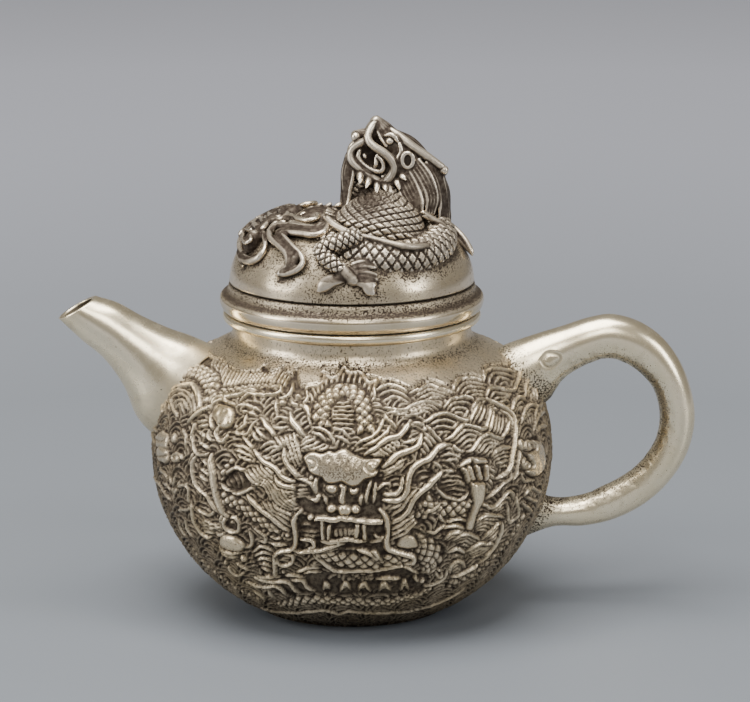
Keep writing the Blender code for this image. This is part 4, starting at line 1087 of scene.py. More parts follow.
def blurred(field, times):
    """A grid of values with each one softened by its neighbours."""
    for _ in range(times):
        padded = np.pad(field, 1, mode="edge")
        field = (padded[:-2, 1:-1] + padded[2:, 1:-1] + padded[1:-1, :-2] + padded[1:-1, 2:]
                 + 2 * padded[1:-1, 1:-1]) / 6
    return field


def soft_noise(shape, cells, seed):
    """Smooth noise from -1 to 1 with features cells wide."""
    rng = np.random.default_rng(seed)
    coarse = rng.uniform(-1, 1, (int(shape[0] / cells) + 3, int(shape[1] / cells) + 3))
    rows, columns = np.arange(shape[0]) / cells, np.arange(shape[1]) / cells
    r0, c0 = rows.astype(int), columns.astype(int)
    fr, fc = smoothstep(rows - r0)[:, None], smoothstep(columns - c0)[None, :]
    a = coarse[r0][:, c0] * (1 - fc) + coarse[r0][:, c0 + 1] * fc
    b = coarse[r0 + 1][:, c0] * (1 - fc) + coarse[r0 + 1][:, c0 + 1] * fc
    return a * (1 - fr) + b * fr


def handmade(height):
    """The relief with slightly wandering lines and uneven depth, as chased by hand."""
    shape = height.shape
    rows = np.arange(shape[0])[:, None] + 0.9 * soft_noise(shape, 9, 1)
    rows = rows + 0.35 * soft_noise(shape, 4, 2)
    columns = np.arange(shape[1])[None, :] + 0.9 * soft_noise(shape, 9, 3)
    columns = columns + 0.35 * soft_noise(shape, 4, 4)
    rows = np.clip(rows, 0, shape[0] - 1.001)
    columns = np.clip(columns, 0, shape[1] - 1.001)
    r0, c0 = rows.astype(int), columns.astype(int)
    fr, fc = rows - r0, columns - c0
    moved = ((height[r0, c0] * (1 - fc) + height[r0, c0 + 1] * fc) * (1 - fr)
             + (height[r0 + 1, c0] * (1 - fc) + height[r0 + 1, c0 + 1] * fc) * fr)
    return moved * (1 + 0.16 * soft_noise(shape, 6, 5)) + 0.07 * soft_noise(shape, 3, 6)


def make_relief():
    """All strokes in their order, the later ones over the earlier ones."""
    relief = Relief()
    ground_waves(relief)
    for painter in (far_left, right_waves, lower_right_waves, left_upper, shell_head, foot_rows,
                    pearl_and_neighbours, claw_left, hair_left, centre_arch, flames_right, claw_right,
                    right_edge_face, under_jaw, face, mouth):
        painter(relief)
    relief.height = handmade(relief.height)
    rng = np.random.default_rng(11)
    flags, pits = shoulder(relief, rng)
    relief.pits = pits
    relief.smooth_zone = flags
    return relief


# ---------------------------------------------------------------- materials

def silver(name, bright, dark, smooth_rough, dark_rough, speckle, grain=0.08, tint=(0.30, 0.26, 0.16)):
    """Warm old silver.  A 0 to 1 attribute turns it into the dark tarnish of hollows, and on some
    pieces into painted shade; the attribute pitting makes its small dark pits denser."""
    material = bpy.data.materials.new(name)
    material.use_nodes = True
    tree = material.node_tree
    shader = tree.nodes["Principled BSDF"]
    place_output = tree.nodes.new("ShaderNodeTexCoord").outputs["Object"]
    cloud = noise_node(tree, place_output, 55.0, 5.0, 0.65)
    fine = noise_node(tree, place_output, 900.0, 3.0, 0.5)
    spots = noise_node(tree, place_output, 2400.0, 2.0, 0.5)
    shade = math_node(tree, "MULTIPLY_ADD", fine, grain * 4, attribute_node(tree, "patina_and_shade"))
    shade = math_node(tree, "SUBTRACT", shade, grain * 2.0)
    dense = math_node(tree, "MULTIPLY_ADD", attribute_node(tree, "pitting"), 0.20, spots)
    specks = range_node(tree, dense, 0.0, speckle, 0.68, 0.74)
    shade = math_node(tree, "ADD", shade, specks, clamp=True)
    cloudy = range_node(tree, cloud, 0.0, 0.75, 0.42, 0.75)
    warm = mix_node(tree, cloudy, (*bright, 1.0), (*tint, 1.0))
    colour = mix_node(tree, shade, warm, (*dark, 1.0))
    tree.links.new(colour, shader.inputs["Base Color"])
    tree.links.new(range_node(tree, shade, smooth_rough, dark_rough), shader.inputs["Roughness"])
    tree.links.new(range_node(tree, shade, 1.0, 0.55), shader.inputs["Metallic"])
    return material


def put_in(tree, value, socket):
    """A number, a colour or another node's output into a socket."""
    if isinstance(value, bpy.types.NodeSocket):
        tree.links.new(value, socket)
    else:
        socket.default_value = value


def attribute_node(tree, name):
    node = tree.nodes.new("ShaderNodeAttribute")
    node.attribute_name = name
    return node.outputs["Fac"]


def noise_node(tree, place_output, scale, detail, roughness):
    node = tree.nodes.new("ShaderNodeTexNoise")
    node.inputs["Scale"].default_value = scale
    node.inputs["Detail"].default_value = detail
    node.inputs["Roughness"].default_value = roughness
    tree.links.new(place_output, node.inputs["Vector"])
    return node.outputs["Fac"]


def range_node(tree, value, to_min, to_max, from_min=0.0, from_max=1.0):
    """A value stretched from one range to another, and kept inside it."""
    node = tree.nodes.new("ShaderNodeMapRange")
    node.inputs["From Min"].default_value = from_min
    node.inputs["From Max"].default_value = from_max
    node.inputs["To Min"].default_value = to_min
    node.inputs["To Max"].default_value = to_max
    tree.links.new(value, node.inputs["Value"])
    return node.outputs["Result"]


def mix_node(tree, factor, first, second):
    """Between two colours."""
    node = tree.nodes.new("ShaderNodeMix")
    node.data_type = "RGBA"
    tree.links.new(factor, node.inputs["Factor"])
    put_in(tree, first, node.inputs["A"])
    put_in(tree, second, node.inputs["B"])
    return node.outputs["Result"]


def math_node(tree, operation, *values, clamp=False):
    node = tree.nodes.new("ShaderNodeMath")
    node.operation = operation
    node.use_clamp = clamp
    for index, value in enumerate(values):
        put_in(tree, value, node.inputs[index])
    return node.outputs[0]


DARK = (0.030, 0.018, 0.010)
RELIEF_SILVER = silver("relief_silver", (0.82, 0.69, 0.49), DARK, 0.27, 0.62, 0.8, 0.1,
        (0.6, 0.46, 0.23))
PLAIN_SILVER = silver("plain_silver", (1.0, 0.88, 0.64), DARK, 0.25, 0.6, 0.8, 0.05, (0.90, 0.75, 0.47))
LID_SILVER = silver("lid_silver", (0.86, 0.73, 0.53), DARK, 0.19, 0.6, 0.8, 0.05, (0.64, 0.52, 0.30))
DRAGON_SILVER = silver("dragon_silver", (0.84, 0.74, 0.59), DARK, 0.27, 0.62, 0.6, 0.08,
        (0.64, 0.53, 0.38))
INSIDE_SILVER = silver("inside_silver", (0.45, 0.41, 0.33), (0.05, 0.04, 0.03), 0.42, 0.7, 0.5)


# ---------------------------------------------------------------- the pot's shell

def inner_pot_line():
    """The inside of the shell, from the mouth down to the axis."""
    line = [(MOUTH_RADIUS, NECK_TOP - 0.5), (MOUTH_RADIUS, 72.0)]
    outer = evenly(pot_rows(), 60)
    tangent = np.gradient(outer, axis=0)
    tangent = tangent / np.linalg.norm(tangent, axis=1)[:, None]
    inner = outer + np.column_stack([-tangent[:, 1], tangent[:, 0]]) * WALL
    line += [tuple(p) for p in inner[::-1] if 2.2 < p[1] < 70.8]
    line += [(22.0, 2.2), (10.0, 2.1), (0.6, 2.1)]
    return np.array(line)


def all_round(field):
    """Values of the front half followed by their mirror image, for the whole pot."""
    return np.concatenate([field, field[:, -2:0:-1]], axis=1)


def pot_tarnish_and_shade(relief, full, across, near_edge):
    """Dark tarnish in the hollows and the shoulder's pits, and painted shade at the foot and on the
    left side towards the spout.
    """
    pits = all_round(relief.pits)
    flags = all_round(relief.smooth_zone)
    hollow = np.clip(-full / 0.74, 0, 1) ** 0.8
    edge = np.clip((blurred(full, 8) - full) / 0.45, 0, 1)
    top_fade = smoothstep((relief.along[-1] - relief.along) / 1.5)[:, None]
    patina_and_shade = np.clip(hollow * 0.88 + edge * 0.40, 0, 0.97) * top_fade
    smooth = np.clip(blurred(pits, 1) * 3.0 + edge * 0.8 + 0.19 + 0.25 * near_edge, 0, 1)
    patina_and_shade = np.where(flags, smooth, patina_and_shade)
    # painted shade: darker towards the bottom of the pot, where it faces the floor
    low = smoothstep((9.0 - relief.line[:, 1]) / 9.0)[:, None]
    # painted shade: darker on the left side of the pot, towards the spout
    side = np.where(flags, 0.0, smoothstep((-28.0 - across) / 22.0))
    return np.clip(patina_and_shade + 0.22 * low + 0.14 * side, 0, 0.97)


def pot_pitting(relief, points, near_edge):
    """Dense on the stippled brow, along the shoulder's edge and under the neck."""
    plain = np.where(all_round(relief.smooth_zone), 0.2 + 0.9 * near_edge, 0.25)
    wear = np.maximum(plain, blurred(all_round(relief.dots), 2)).reshape(-1)
    wear = np.concatenate([wear, np.full(len(points) - len(wear), 0.5)])
    radius = np.hypot(points[:, 0], points[:, 1])
    neck = np.exp(-np.abs(points[:, 2] - 70.6) / 1.6) * (radius > 28)
    return np.clip(wear + 0.8 * neck, 0, 1)


def make_pot(relief):
    """The shell: the relief outside, a turned foot and lip, and a plain inside."""
    full = all_round(relief.height)
    flags = all_round(relief.smooth_zone)
    count = full.shape[1]
    turn = -math.pi + TAU * np.arange(count) / count
    full = np.where(flags, full, full * 0.8 + blurred(full, 1) * 0.2)
    top_fade = smoothstep((relief.along[-1] - relief.along) / 1.5)[:, None]
    low_fade = smoothstep(relief.along / 1.2)[:, None]
    lift = full * top_fade * low_fade - all_round(relief.pits) * 0.22 * top_fade
    radius = relief.radius[:, None] + lift * relief.normal[:, 0][:, None]
    level = relief.line[:, 1][:, None] + lift * relief.normal[:, 1][:, None]
    outer = np.stack([radius * np.cos(turn), radius * np.sin(turn), level], axis=-1)
    foot = [(23.4, 0.0), (22.4, 0.3), (22.35, 1.95), (0.6, 1.95)]
    lip = [(30.8, NECK_TOP), (MOUTH_RADIUS + 0.4, NECK_TOP)]
    inside = [tuple(p) for p in inner_pot_line()]
    points = np.vstack([outer.reshape(-1, 3)] + turned(foot + lip + inside, turn))
    base = relief.rows * count
    lip_start = base + len(foot) * count
    faces = grid_faces(relief.rows, count)
    faces += chain_faces([0, *range(base, lip_start, count)], count, True)
    faces += chain_faces([base - count, *range(lip_start, len(points), count)], count, False)
    near_edge = np.exp(-field_from(flags) / 2.0)
    patina_and_shade = pot_tarnish_and_shade(relief, full, outer[..., 0], near_edge)
    rest = [0.35] * len(foot) + [0.0] * len(lip) + [0.55] * len(inside)
    piece = mesh_piece("pot_shell", points, faces, "pot", RELIEF_SILVER,
            ["body_shell"])
    set_attribute(piece, "patina_and_shade", np.concatenate([patina_and_shade.reshape(-1), np.repeat(rest, count)]))
    set_attribute(piece, "pitting", pot_pitting(relief, points, near_edge))


def field_from(flags):
    """Distance in cells, roughly, from the smooth shoulder to the relief."""
    near = blurred(1.0 - flags, 60)
    return np.clip(-np.log(np.clip(near, 1e-4, 1.0)) * 1.6, 0, 20)


# ---------------------------------------------------------------- turned rings, dome

def ring_piece(name, outline, body, material, replaced):
    """A closed ring turned from an outline of (radius, height, patina)."""
    steps = 256
    rows = np.array(outline, float)
    turn = TAU * np.arange(steps) / steps
    points = np.vstack(turned(rows[:, :2], turn))
    faces = chain_faces([*range(0, len(points), steps), 0], steps, True)
    piece = mesh_piece(name, points, faces, body, material, replaced)
    shade = np.repeat(rows[:, 2], steps)
    set_attribute(piece, "pitting", np.clip(shade * 1.4, 0, 1))
    set_attribute(piece, "patina_and_shade", shade)


def smooth_outline(parts):
    """A closed outline from curved runs of (radius, height, patina)."""
    rows = []
    for part in parts:
        rows.extend(catmull(part, 0.25).tolist())
    return rows


def make_rings():
    """The bright ring round the mouth and the moulded ring at the lid's foot."""
    low = NECK_TOP + 0.35
    neck = smooth_outline([[(MOUTH_RADIUS, low, 0.5), (MOUTH_RADIUS, RING_TOP, 0.5)],
            [(MOUTH_RADIUS + 0.1, RING_TOP + 0.02, 0.5), (32.4, RING_TOP, 0.6)],
            [(32.9, RING_TOP - 0.15, 0.1), (33.3, RING_TOP - 0.7, 0.0), (33.4, RING_TOP - 1.5, 0.0),
             (33.1, low + 0.4, 0.05), (32.5, low, 0.3)], [(32.0, low, 0.4),
            (MOUTH_RADIUS + 0.3, low, 0.4)]])
    ring_piece("neck_ring_bright", neck, "pot", PLAIN_SILVER, ["neck_ring"])
    base = RING_TOP + 0.35
    flange = smooth_outline([[(27.85, base, 0.6), (27.85, 85.6, 0.7)],
            [(28.0, 85.9, 0.7), (31.3, 85.9, 0.8)], [(31.5, 85.75, 0.9), (31.75, 85.5, 0.62),
            (31.95, 85.0, 0.5), (32.05, 84.5, 0.6), (32.25, 84.0, 0.76), (32.65, 83.55, 0.9),
            (33.1, 83.2, 0.92), (33.5, 82.95, 0.8), (33.85, 82.6, 0.42), (34.1, 82.1, 0.14),
            (34.2, 81.4, 0.0), (34.05, 80.5, 0.0), (33.75, 79.7, 0.0), (33.4, 79.2, 0.15),
            (33.1, base, 0.5)], [(32.8, base, 0.6), (28.1, base, 0.6)]])
    ring_piece("lid_flange_moulded", flange, "lid", LID_SILVER, ["lid_flange"])


def mottle(points, amount, scale):
    """Soft cloudy wear, the same each time."""
    return np.array([noise.fractal(Vector(p) * scale, 1.0, 2.0, 3) for p in points]) * amount


def gaps_to(points, others):
    """Distance from each point to the nearest of the others."""
    tree = kdtree.KDTree(len(others))
    for index, spot in enumerate(others.tolist()):
        tree.insert(spot, index)
    tree.balance()
    return np.array([tree.find(spot)[2] for spot in points.tolist()])


def make_dome(casting):
    """The lid's dome, darker round the foot of the cast dragon."""
    steps = 240
    outer = [(0.3, 104.4)] + [tuple(p) for p in evenly(catmull(DOME_PROFILE, 0.3), 90)[1:]]
    foot = [(31.2, 86.25), (30.4, 86.25)]
    under = [(30.0, 86.25), (29.5, 89.4), (28.2, 92.4), (26.4, 95.2), (23.6, 97.6), (19.6, 99.6),
             (14.4, 101.1), (7.8, 102.1), (0.3, 102.5)]
    line = outer + foot + [tuple(p) for p in evenly(catmull(under, 0.3), 40)]
    points = np.vstack(turned(line, TAU * np.arange(steps) / steps))
    faces = grid_faces(len(line), steps, flip=True)
    faces.append(cap(0, steps))
    faces.append(cap(len(points) - steps, steps, flip=True))
    piece = mesh_piece("lid_dome_smooth", points, faces, "lid", LID_SILVER, ["lid_dome"])
    gap = gaps_to(points, casting[::12])
    wear = 1 + mottle(points, 0.5, 0.3)
    shade = np.clip(0.85 * np.exp(-np.clip(gap - 0.6, 0, 99) / 1.9) * wear, 0, 0.9)
    inside = np.arange(len(points)) >= (len(outer) + 3) * steps
    shade = np.where(inside, 0.55, shade)
    shade = np.where((points[:, 2] < 86.7) & ~inside, 0.9, shade)
    set_attribute(piece, "pitting", np.clip(1.1 * np.exp(-gap / 5.5) * wear, 0, 1))
    set_attribute(piece, "patina_and_shade", shade)


# ---------------------------------------------------------------- spout and handle

def oval_rows(rings, step, inset=0.0):
    """Smoothed (lower x, z, upper x, z, half width) rows through the sections, drawn in by inset."""
    rows = catmull([(*a, *b, w) for a, b, w in rings], step)
    axis = rows[:, 2:4] - rows[:, :2]
    axis = axis / np.linalg.norm(axis, axis=1)[:, None]
    rows[:, :2] += axis * inset
    rows[:, 2:4] -= axis * inset
    rows[:, 4] -= inset
    return rows


def oval_points(rows, sides, power=2.0):
    """A ring of points for each section; a power above 2 makes it squarer."""
    turn = TAU * np.arange(sides) / sides
    c, s = np.cos(turn), np.sin(turn)
    c2 = np.sign(c) * np.abs(c) ** (2 / power)
    s2 = np.sign(s) * np.abs(s) ** (2 / power)
    centre = (rows[:, :2] + rows[:, 2:4]) / 2
    arm = (rows[:, :2] - rows[:, 2:4]) / 2
    x = centre[:, 0][:, None] + arm[:, 0][:, None] * c2
    z = centre[:, 1][:, None] + arm[:, 1][:, None] * c2
    y = rows[:, 4][:, None] * s2
    return np.stack([x, y, z], axis=-1)


def gap_to_pot(points):
    """How far points lie outside the pot's mean surface, roughly."""
    line = catmull(POT_PROFILE, 1.0)
    flat = np.column_stack([np.hypot(points[:, 0], points[:, 1]), points[:, 2]])
    near = np.full(len(flat), 1e9)
    side = np.zeros(len(flat))
    tangent = np.gradient(line, axis=0)
    for (r, z), (tr, tz) in zip(line, tangent):
        d = np.hypot(flat[:, 0] - r, flat[:, 1] - z)
        out = (flat[:, 0] - r) * tz - (flat[:, 1] - z) * tr
        closer = d < near
        near = np.where(closer, d, near)
        side = np.where(closer, out, side)
    return near * np.sign(side)


def kept_in_wall(points):
    """Points that would poke through into the pot moved back into the thickness of its wall."""
    points = points.copy()
    for _ in range(3):
        deep = np.clip(-1.0 - gap_to_pot(points), 0, None)
        radius = np.maximum(np.hypot(points[:, 0], points[:, 1]), 1.0)
        points[:, 0] *= (radius + deep) / radius
        points[:, 1] *= (radius + deep) / radius
    return points


def make_spout():
    """The plain spout with its oblique mouth and its bore."""
    sides = 96
    outer = oval_points(oval_rows(SPOUT_RINGS, 0.7), sides)
    inner = oval_points(oval_rows(SPOUT_RINGS, 0.7, 1.3), sides)
    lip = (outer[0] + inner[0]) / 2 + (outer[0] - outer[1]) * 0.35
    rings = list(outer[::-1]) + [lip] + list(inner)
    points = kept_in_wall(np.vstack(rings))
    wear = np.clip(mottle(points, 0.55, 0.28), 0, 1)
    shade = np.clip(smoothstep(1.0 - gap_to_pot(points) / 5.0) * 0.35 + wear * 0.5, 0, 1)
    inside = np.arange(len(points)) >= (len(outer) + 2) * sides
    piece = mesh_piece("spout_smooth", points, grid_faces(len(rings), sides), "pot",
                       PLAIN_SILVER, ["spout"])
    set_attribute(piece, "patina_and_shade", np.where(inside, 0.85, shade))


def stamp_depth(points):
    """1 along the outline of the blank stamp on the near side of the handle, 0 elsewhere."""
    mark = np.full(len(points), 9.0)
    for x, h in catmull(STAMP, 0.2):
        spot = place(x, h, 7.0)
        mark = np.minimum(mark, np.hypot(points[:, 0] - spot[0], points[:, 2] - spot[2]))
    return smoothstep(1.3 - mark / 0.5) * (points[:, 1] < 0)


def make_handle():
    """The ring handle, dented and dark on its inner side."""
    sides = 128
    grid = oval_points(oval_rows(HANDLE_RINGS, 0.4), sides, 2.15)
    turn = TAU * np.arange(sides) / sides
    centre = grid.mean(axis=1, keepdims=True)
    inward = np.clip(-np.cos(turn), 0, 1)[None, :]
    bumps = mottle(grid.reshape(-1, 3), 0.5, 0.45).reshape(grid.shape[:2])
    grid = grid + (centre - grid) * (0.02 + 0.10 * inward * np.clip(bumps, 0, 1))[..., None]
    points = grid.reshape(-1, 3)
    mark = stamp_depth(points)
    points = points + (np.repeat(centre, sides, 1).reshape(-1, 3) - points) * (0.035 * mark)[:, None]
    points = kept_in_wall(points)
    near_root = smoothstep(1.0 - gap_to_pot(points) / 6.0)
    shade = (inward ** 1.5) * 0.30 + np.clip(bumps, -0.2, 1) * (0.25 + 0.6 * inward)
    shade = np.clip(shade.reshape(-1) + near_root * 0.3 + mark * 0.6, 0, 1)
    wear = np.clip(near_root * 0.9 + np.repeat(inward, len(grid), 0).reshape(-1) * 0.8, 0, 1)
    piece = mesh_piece("handle_smooth", points, grid_faces(len(grid), sides, flip=True), "pot",
                       PLAIN_SILVER, ["handle"])
    set_attribute(piece, "patina_and_shade", shade)
    set_attribute(piece, "pitting", wear)


# ---------------------------------------------------------------- the dragon on the lid

def dome_height(radius):
    """Height of the dome at a distance from the axis."""
    line = np.array(DOME_PROFILE)
    return np.interp(radius, line[:, 0], line[:, 1])


def place(x, level, front):
    """A point seen at (x, level) when it lies front millimetres before the axis plane."""
    depth = CAM_FAR - front * math.cos(CAM_TILT) - (level - CAM_AIM[2]) * math.sin(CAM_TILT)
    share = depth / CAM_FAR
    return (AIM_X + (x - AIM_X) * share, -front,
            CAM_AIM[2] + (level - CAM_AIM[2]) * share + front * math.tan(CAM_TILT))


def seen_points(points, hand):
    """Points from (x, level, front), on the near side (hand 1) or mirrored to the far side (-1)."""
    return [(x, y * hand, z) for x, y, z in (place(*point) for point in points)]


def stations(points, size, hand):
    """The same with one size, or a size for each."""
    sizes = [size] * len(points) if isinstance(size, (int, float)) else size
    return [(*p, s) for p, s in zip(seen_points(points, hand), sizes)]


def on_dome(x, level, lift):
    """The point of the dome seen at (x, level), raised by lift, or of its outline past the edge."""
    fronts = np.linspace(31.4, -31.4, 630)
    spots = np.array([place(x, level, front) for front in fronts])
    radius = np.hypot(spots[:, 0], spots[:, 1])
    gap = spots[:, 2] - dome_height(radius)
    gap = np.where(radius > DOME_EDGE, 99.0, gap)
    hits = np.nonzero(gap <= 0)[0]
    spot = spots[hits[0] if len(hits) else int(gap.argmin())].copy()
    far = math.hypot(spot[0], spot[1])
    spot[2] = dome_height(far)
    slope = (dome_height(far + 0.3) - dome_height(far - 0.3)) / 0.6
    out = np.array((-slope * spot[0] / max(far, 0.1), -slope * spot[1] / max(far, 0.1), 1.0))
    return tuple(spot + out / np.linalg.norm(out) * lift)


def round_dome(angle, radius, lift, size):
    """A station on the dome, from its angle in degrees and its distance from the axis."""
    turn = math.radians(angle)
    return (radius * math.cos(turn), radius * math.sin(turn), float(dome_height(radius)) + lift, size)


class Clay:
    """Overlapping closed lumps that are fused into one skin."""

    def __init__(self):
        self.points, self.faces, self.parts = [], [], []

    def add(self, points, faces):
        """One closed lump."""
        base = len(self.points)
        self.points.extend(points)
        self.faces.extend([tuple(base + k for k in face) for face in faces])

    def tube(self, stations, kind="smooth", step=0.7, sides=14, flat=1.0, flat_axis=None, lanes=12,
             pitch=2.2):
        """A round or flattened rope through (x, y, z, radius), with rounded ends."""
        rows = catmull(stations, step)
        centres = rows[:, :3]
        sizes = np.maximum(rows[:, 3], 0.12)
        tangents = np.gradient(centres, axis=0)
        tangents = tangents / np.maximum(np.linalg.norm(tangents, axis=1), 1e-6)[:, None]
        side = None
        rings = []
        for centre, size, along in zip(centres, sizes, tangents):
            if flat_axis is not None:
                side = np.cross(along, np.array(flat_axis, float))
            elif side is None:
                side = np.cross(along, (0.0, 0.0, 1.0) if abs(along[2]) < 0.9 else (0.0, 1.0, 0.0))
            side = side - along * side.dot(along)
            side = side / max(np.linalg.norm(side), 1e-6)
            rings.append((centre, size, along, side, np.cross(side, along)))
        first, last = rings[0], rings[-1]
        rounding = ((0.95, 0.3), (0.7, 0.72))
        before = [(first[0] - first[2] * first[1] * reach, first[1] * share, *first[2:])
                  for reach, share in rounding]
        after = [(last[0] + last[2] * last[1] * reach, last[1] * share, *last[2:])
                 for reach, share in rounding[::-1]]
        turns = TAU * np.arange(sides) / sides
        points = []
        for centre, size, _, side, over in before + rings + after:
            for turn in turns:
                points.append(tuple(centre + side * size * math.cos(turn)
                                    + over * size * flat * math.sin(turn)))
        faces = grid_faces(len(rings) + 4, sides)
        faces.append(cap(0, sides, flip=True))
        faces.append(cap(len(points) - sides, sides))
        self.add(points, faces)
        self.parts.append((kind, centres, sizes, np.array([ring[3] for ring in rings]),
                           np.array([ring[4] for ring in rings]), lanes, pitch))

    def egg(self, centre, radii, tilt=(0.0, 0.0, 0.0)):
        """A smooth egg with its three radii, tilted by degrees about x, y and z."""
        turns, levels = 18, 11
        about_x, about_y, about_z = (Matrix.Rotation(math.radians(angle), 3, axis)
                                     for angle, axis in zip(tilt, "XYZ"))
        spin = about_x @ about_y @ about_z
        points = []
        for level in range(levels):
            angle = math.pi * (level + 0.5) / levels
            for turn in range(turns):
                phi = TAU * turn / turns
                v = Vector((radii[0] * math.sin(angle) * math.cos(phi),
                            radii[1] * math.sin(angle) * math.sin(phi),
                            radii[2] * math.cos(angle)))
                points.append(tuple(Vector(centre) + spin @ v))
        faces = grid_faces(levels, turns, flip=True)
        faces.append(cap(0, turns))
        faces.append(cap(len(points) - turns, turns, flip=True))
        self.add(points, faces)
        self.parts.append(("smooth", np.array([centre]), np.array([min(radii)]), None, None, 0, 0))

    def fuse(self, name, voxel, replaced, deep=0.5):
        """One skin over all lumps, with its scales raised.  Gives the piece, its points and how dark
        each one is, from how deep it lies between its neighbours."""
        mesh = bpy.data.meshes.new(name)
        mesh.from_pydata((np.array(self.points) * MM).tolist(), [], self.faces)
        piece = bpy.data.objects.new(name, mesh)
        bpy.context.scene.collection.objects.link(piece)
        skin = remeshed(piece, voxel)
        co, edges = skin_arrays(skin)
        co = smoothed(co, edges, 2)
        co, furrow = self.scales(co, normals_of(skin, co))
        normal = normals_of(skin, co)
        skin.shade_smooth()
        fine = ((smoothed(co, edges, 6) - co) * normal).sum(1)
        middle = ((smoothed(co, edges, 20) - co) * normal).sum(1)
        broad = ((smoothed(co, edges, 80) - co) * normal).sum(1)
        curve = fine / fine.std() + 1.2 * middle / middle.std() + deep * broad / broad.std()
        shade = np.clip(1.28 * ranked(curve, 8, 60) + 0.8 * furrow - 0.08, 0, 0.97)
        skin.materials.clear()
        skin.materials.append(DRAGON_SILVER)
        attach(piece, "lid")
        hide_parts(*replaced)
        return piece, co, shade

    def scales(self, co, normal):
        """Raise overlapping scales on the parts that carry them."""
        near = np.full(len(co), 1e9)
        lift = np.zeros(len(co))
        furrow = np.zeros(len(co))
        for kind, centres, sizes, side, over, lanes, pitch in self.parts:
            low = (centres - sizes[:, None]).min(0) - 1.6
            high = (centres + sizes[:, None]).max(0) + 1.6
            pick = np.nonzero(((co > low) & (co < high)).all(1))[0]
            if not len(pick):
                continue
            gap = np.linalg.norm(co[pick][:, None, :] - centres[None, :, :], axis=2) - sizes[None, :]
            best = gap.argmin(1)
            dist = gap[np.arange(len(pick)), best]
            mine = dist < near[pick] - 0.02
            near[pick[mine]] = dist[mine]
            if kind != "scales":
                lift[pick[mine]] = 0.0
                furrow[pick[mine]] = 0.0
                continue
            steps = np.r_[0.0, np.cumsum(np.linalg.norm(np.diff(centres, axis=0), axis=1))]
            rel = co[pick] - centres[best]
            tangent = np.gradient(centres, axis=0)
            tangent = tangent / np.linalg.norm(tangent, axis=1)[:, None]
            length = steps[best] + (rel * tangent[best]).sum(1)
            turn = np.arctan2((rel * over[best]).sum(1), (rel * side[best]).sum(1))
            row = length / pitch
            lane = turn / TAU * lanes
            ahead = (row + lane * 0.5) % 1.0
            back = (row - lane * 0.5) % 1.0
            pattern = scale_pattern(row, lane) * (0.75 + 0.25 * (ahead + back) / 2)
            lift[pick[mine]] = (pattern[mine] - 0.62) * 0.66
            furrow[pick[mine]] = np.clip(0.85 - pattern[mine], 0, 1)
        return co + normal * lift[:, None], furrow


def remeshed(piece, voxel):
    """The lumps of a piece joined into one even skin, which becomes its mesh."""
    fuse = piece.modifiers.new("fuse", "REMESH")
    fuse.mode = "VOXEL"
    fuse.voxel_size = voxel * MM
    depsgraph = bpy.context.evaluated_depsgraph_get()
    skin = bpy.data.meshes.new_from_object(piece.evaluated_get(depsgraph), depsgraph=depsgraph)
    piece.modifiers.clear()
    piece.data = skin
    skin.name = piece.name
    return skin


def skin_arrays(skin):
    """A mesh's points in millimetres and the two ends of each edge."""
    co = np.zeros(len(skin.vertices) * 3)
    skin.vertices.foreach_get("co", co)
    edges = np.zeros(len(skin.edges) * 2, int)
    skin.edges.foreach_get("vertices", edges)
    return co.reshape(-1, 3) / MM, edges.reshape(-1, 2)


def ranked(values, low, high):
    """Values stretched so that the low percentile is 0 and the high one is 1."""
    a, b = np.percentile(values, (low, high))
    return np.clip((values - a) / max(b - a, 1e-9), 0, 1)


def smoothed(co, edges, times):
    """Points drawn towards the mean of their neighbours."""
    count = np.bincount(edges.ravel(), minlength=len(co)).clip(1)
    for _ in range(times):
        total = np.zeros_like(co)
        for axis in range(3):
            total[:, axis] = (np.bincount(edges[:, 0], co[edges[:, 1], axis], len(co))
                              + np.bincount(edges[:, 1], co[edges[:, 0], axis], len(co)))
        co = co * 0.4 + 0.6 * total / count[:, None]
    return co


def normals_of(mesh, co):
    """The mesh's normals once its points are moved to co."""
    mesh.vertices.foreach_set("co", (co * MM).ravel())
    mesh.update()
    values = np.zeros(len(mesh.vertices) * 3)
    mesh.vertex_normals.foreach_get("vector", values)
    return values.reshape(-1, 3)


def body_and_neck(clay):
    """The scaled coil, the neck and the cord that runs along them."""
    clay.tube([(-7.4, -15.8, 100.4, 3.0), (-4.4, -20.6, 98.4, 3.8), (1, -23.8, 96.9, 4.4),
               (9.6, -23.6, 96.2, 4.5), (17, -19, 96.3, 4.7), (21.6, -11, 97.6, 4.8),
               (21.4, -3, 99.6, 4.8), (15, 3.5, 102, 4.8), (7, 5.5, 104, 4.8)], "scales", lanes=14,
              pitch=2.3, sides=22)
    clay.tube([(6.4, -8.4, 98.4, 14.4), (7.4, -6.6, 101.6, 12.2), (8.4, -3.6, 105, 9.2),
               (9.2, -1.2, 108.2, 5.6)], "scales", lanes=42, pitch=2.0, sides=36, flat=0.86)
    clay.tube([(9.4, -0.4, 107, 5.6), (9.8, 0, 110.4, 4.6), (10.4, 0, 114, 4.4)], sides=24)
    clay.egg((3.0, -0.6, 108.6), (4.6, 3.4, 5.2))
    cord = [place(-6.4, 102.4, 15), place(-4.1, 100.4, 18), place(0.5, 98.2, 21.4),
            place(5.2, 97.0, 23.6), place(9.8, 95.8, 25.4), place(14, 95.0, 25.6),
            place(18, 94.9, 22.9), place(21.6, 95.6, 17.2), place(24.2, 97.8, 12.4),
            place(23.6, 100.4, 9.4), place(21, 102.2, 8.8), place(18.6, 103.8, 9.0)]
    clay.tube([(*p, 0.95) for p in cord], sides=12, step=0.5)


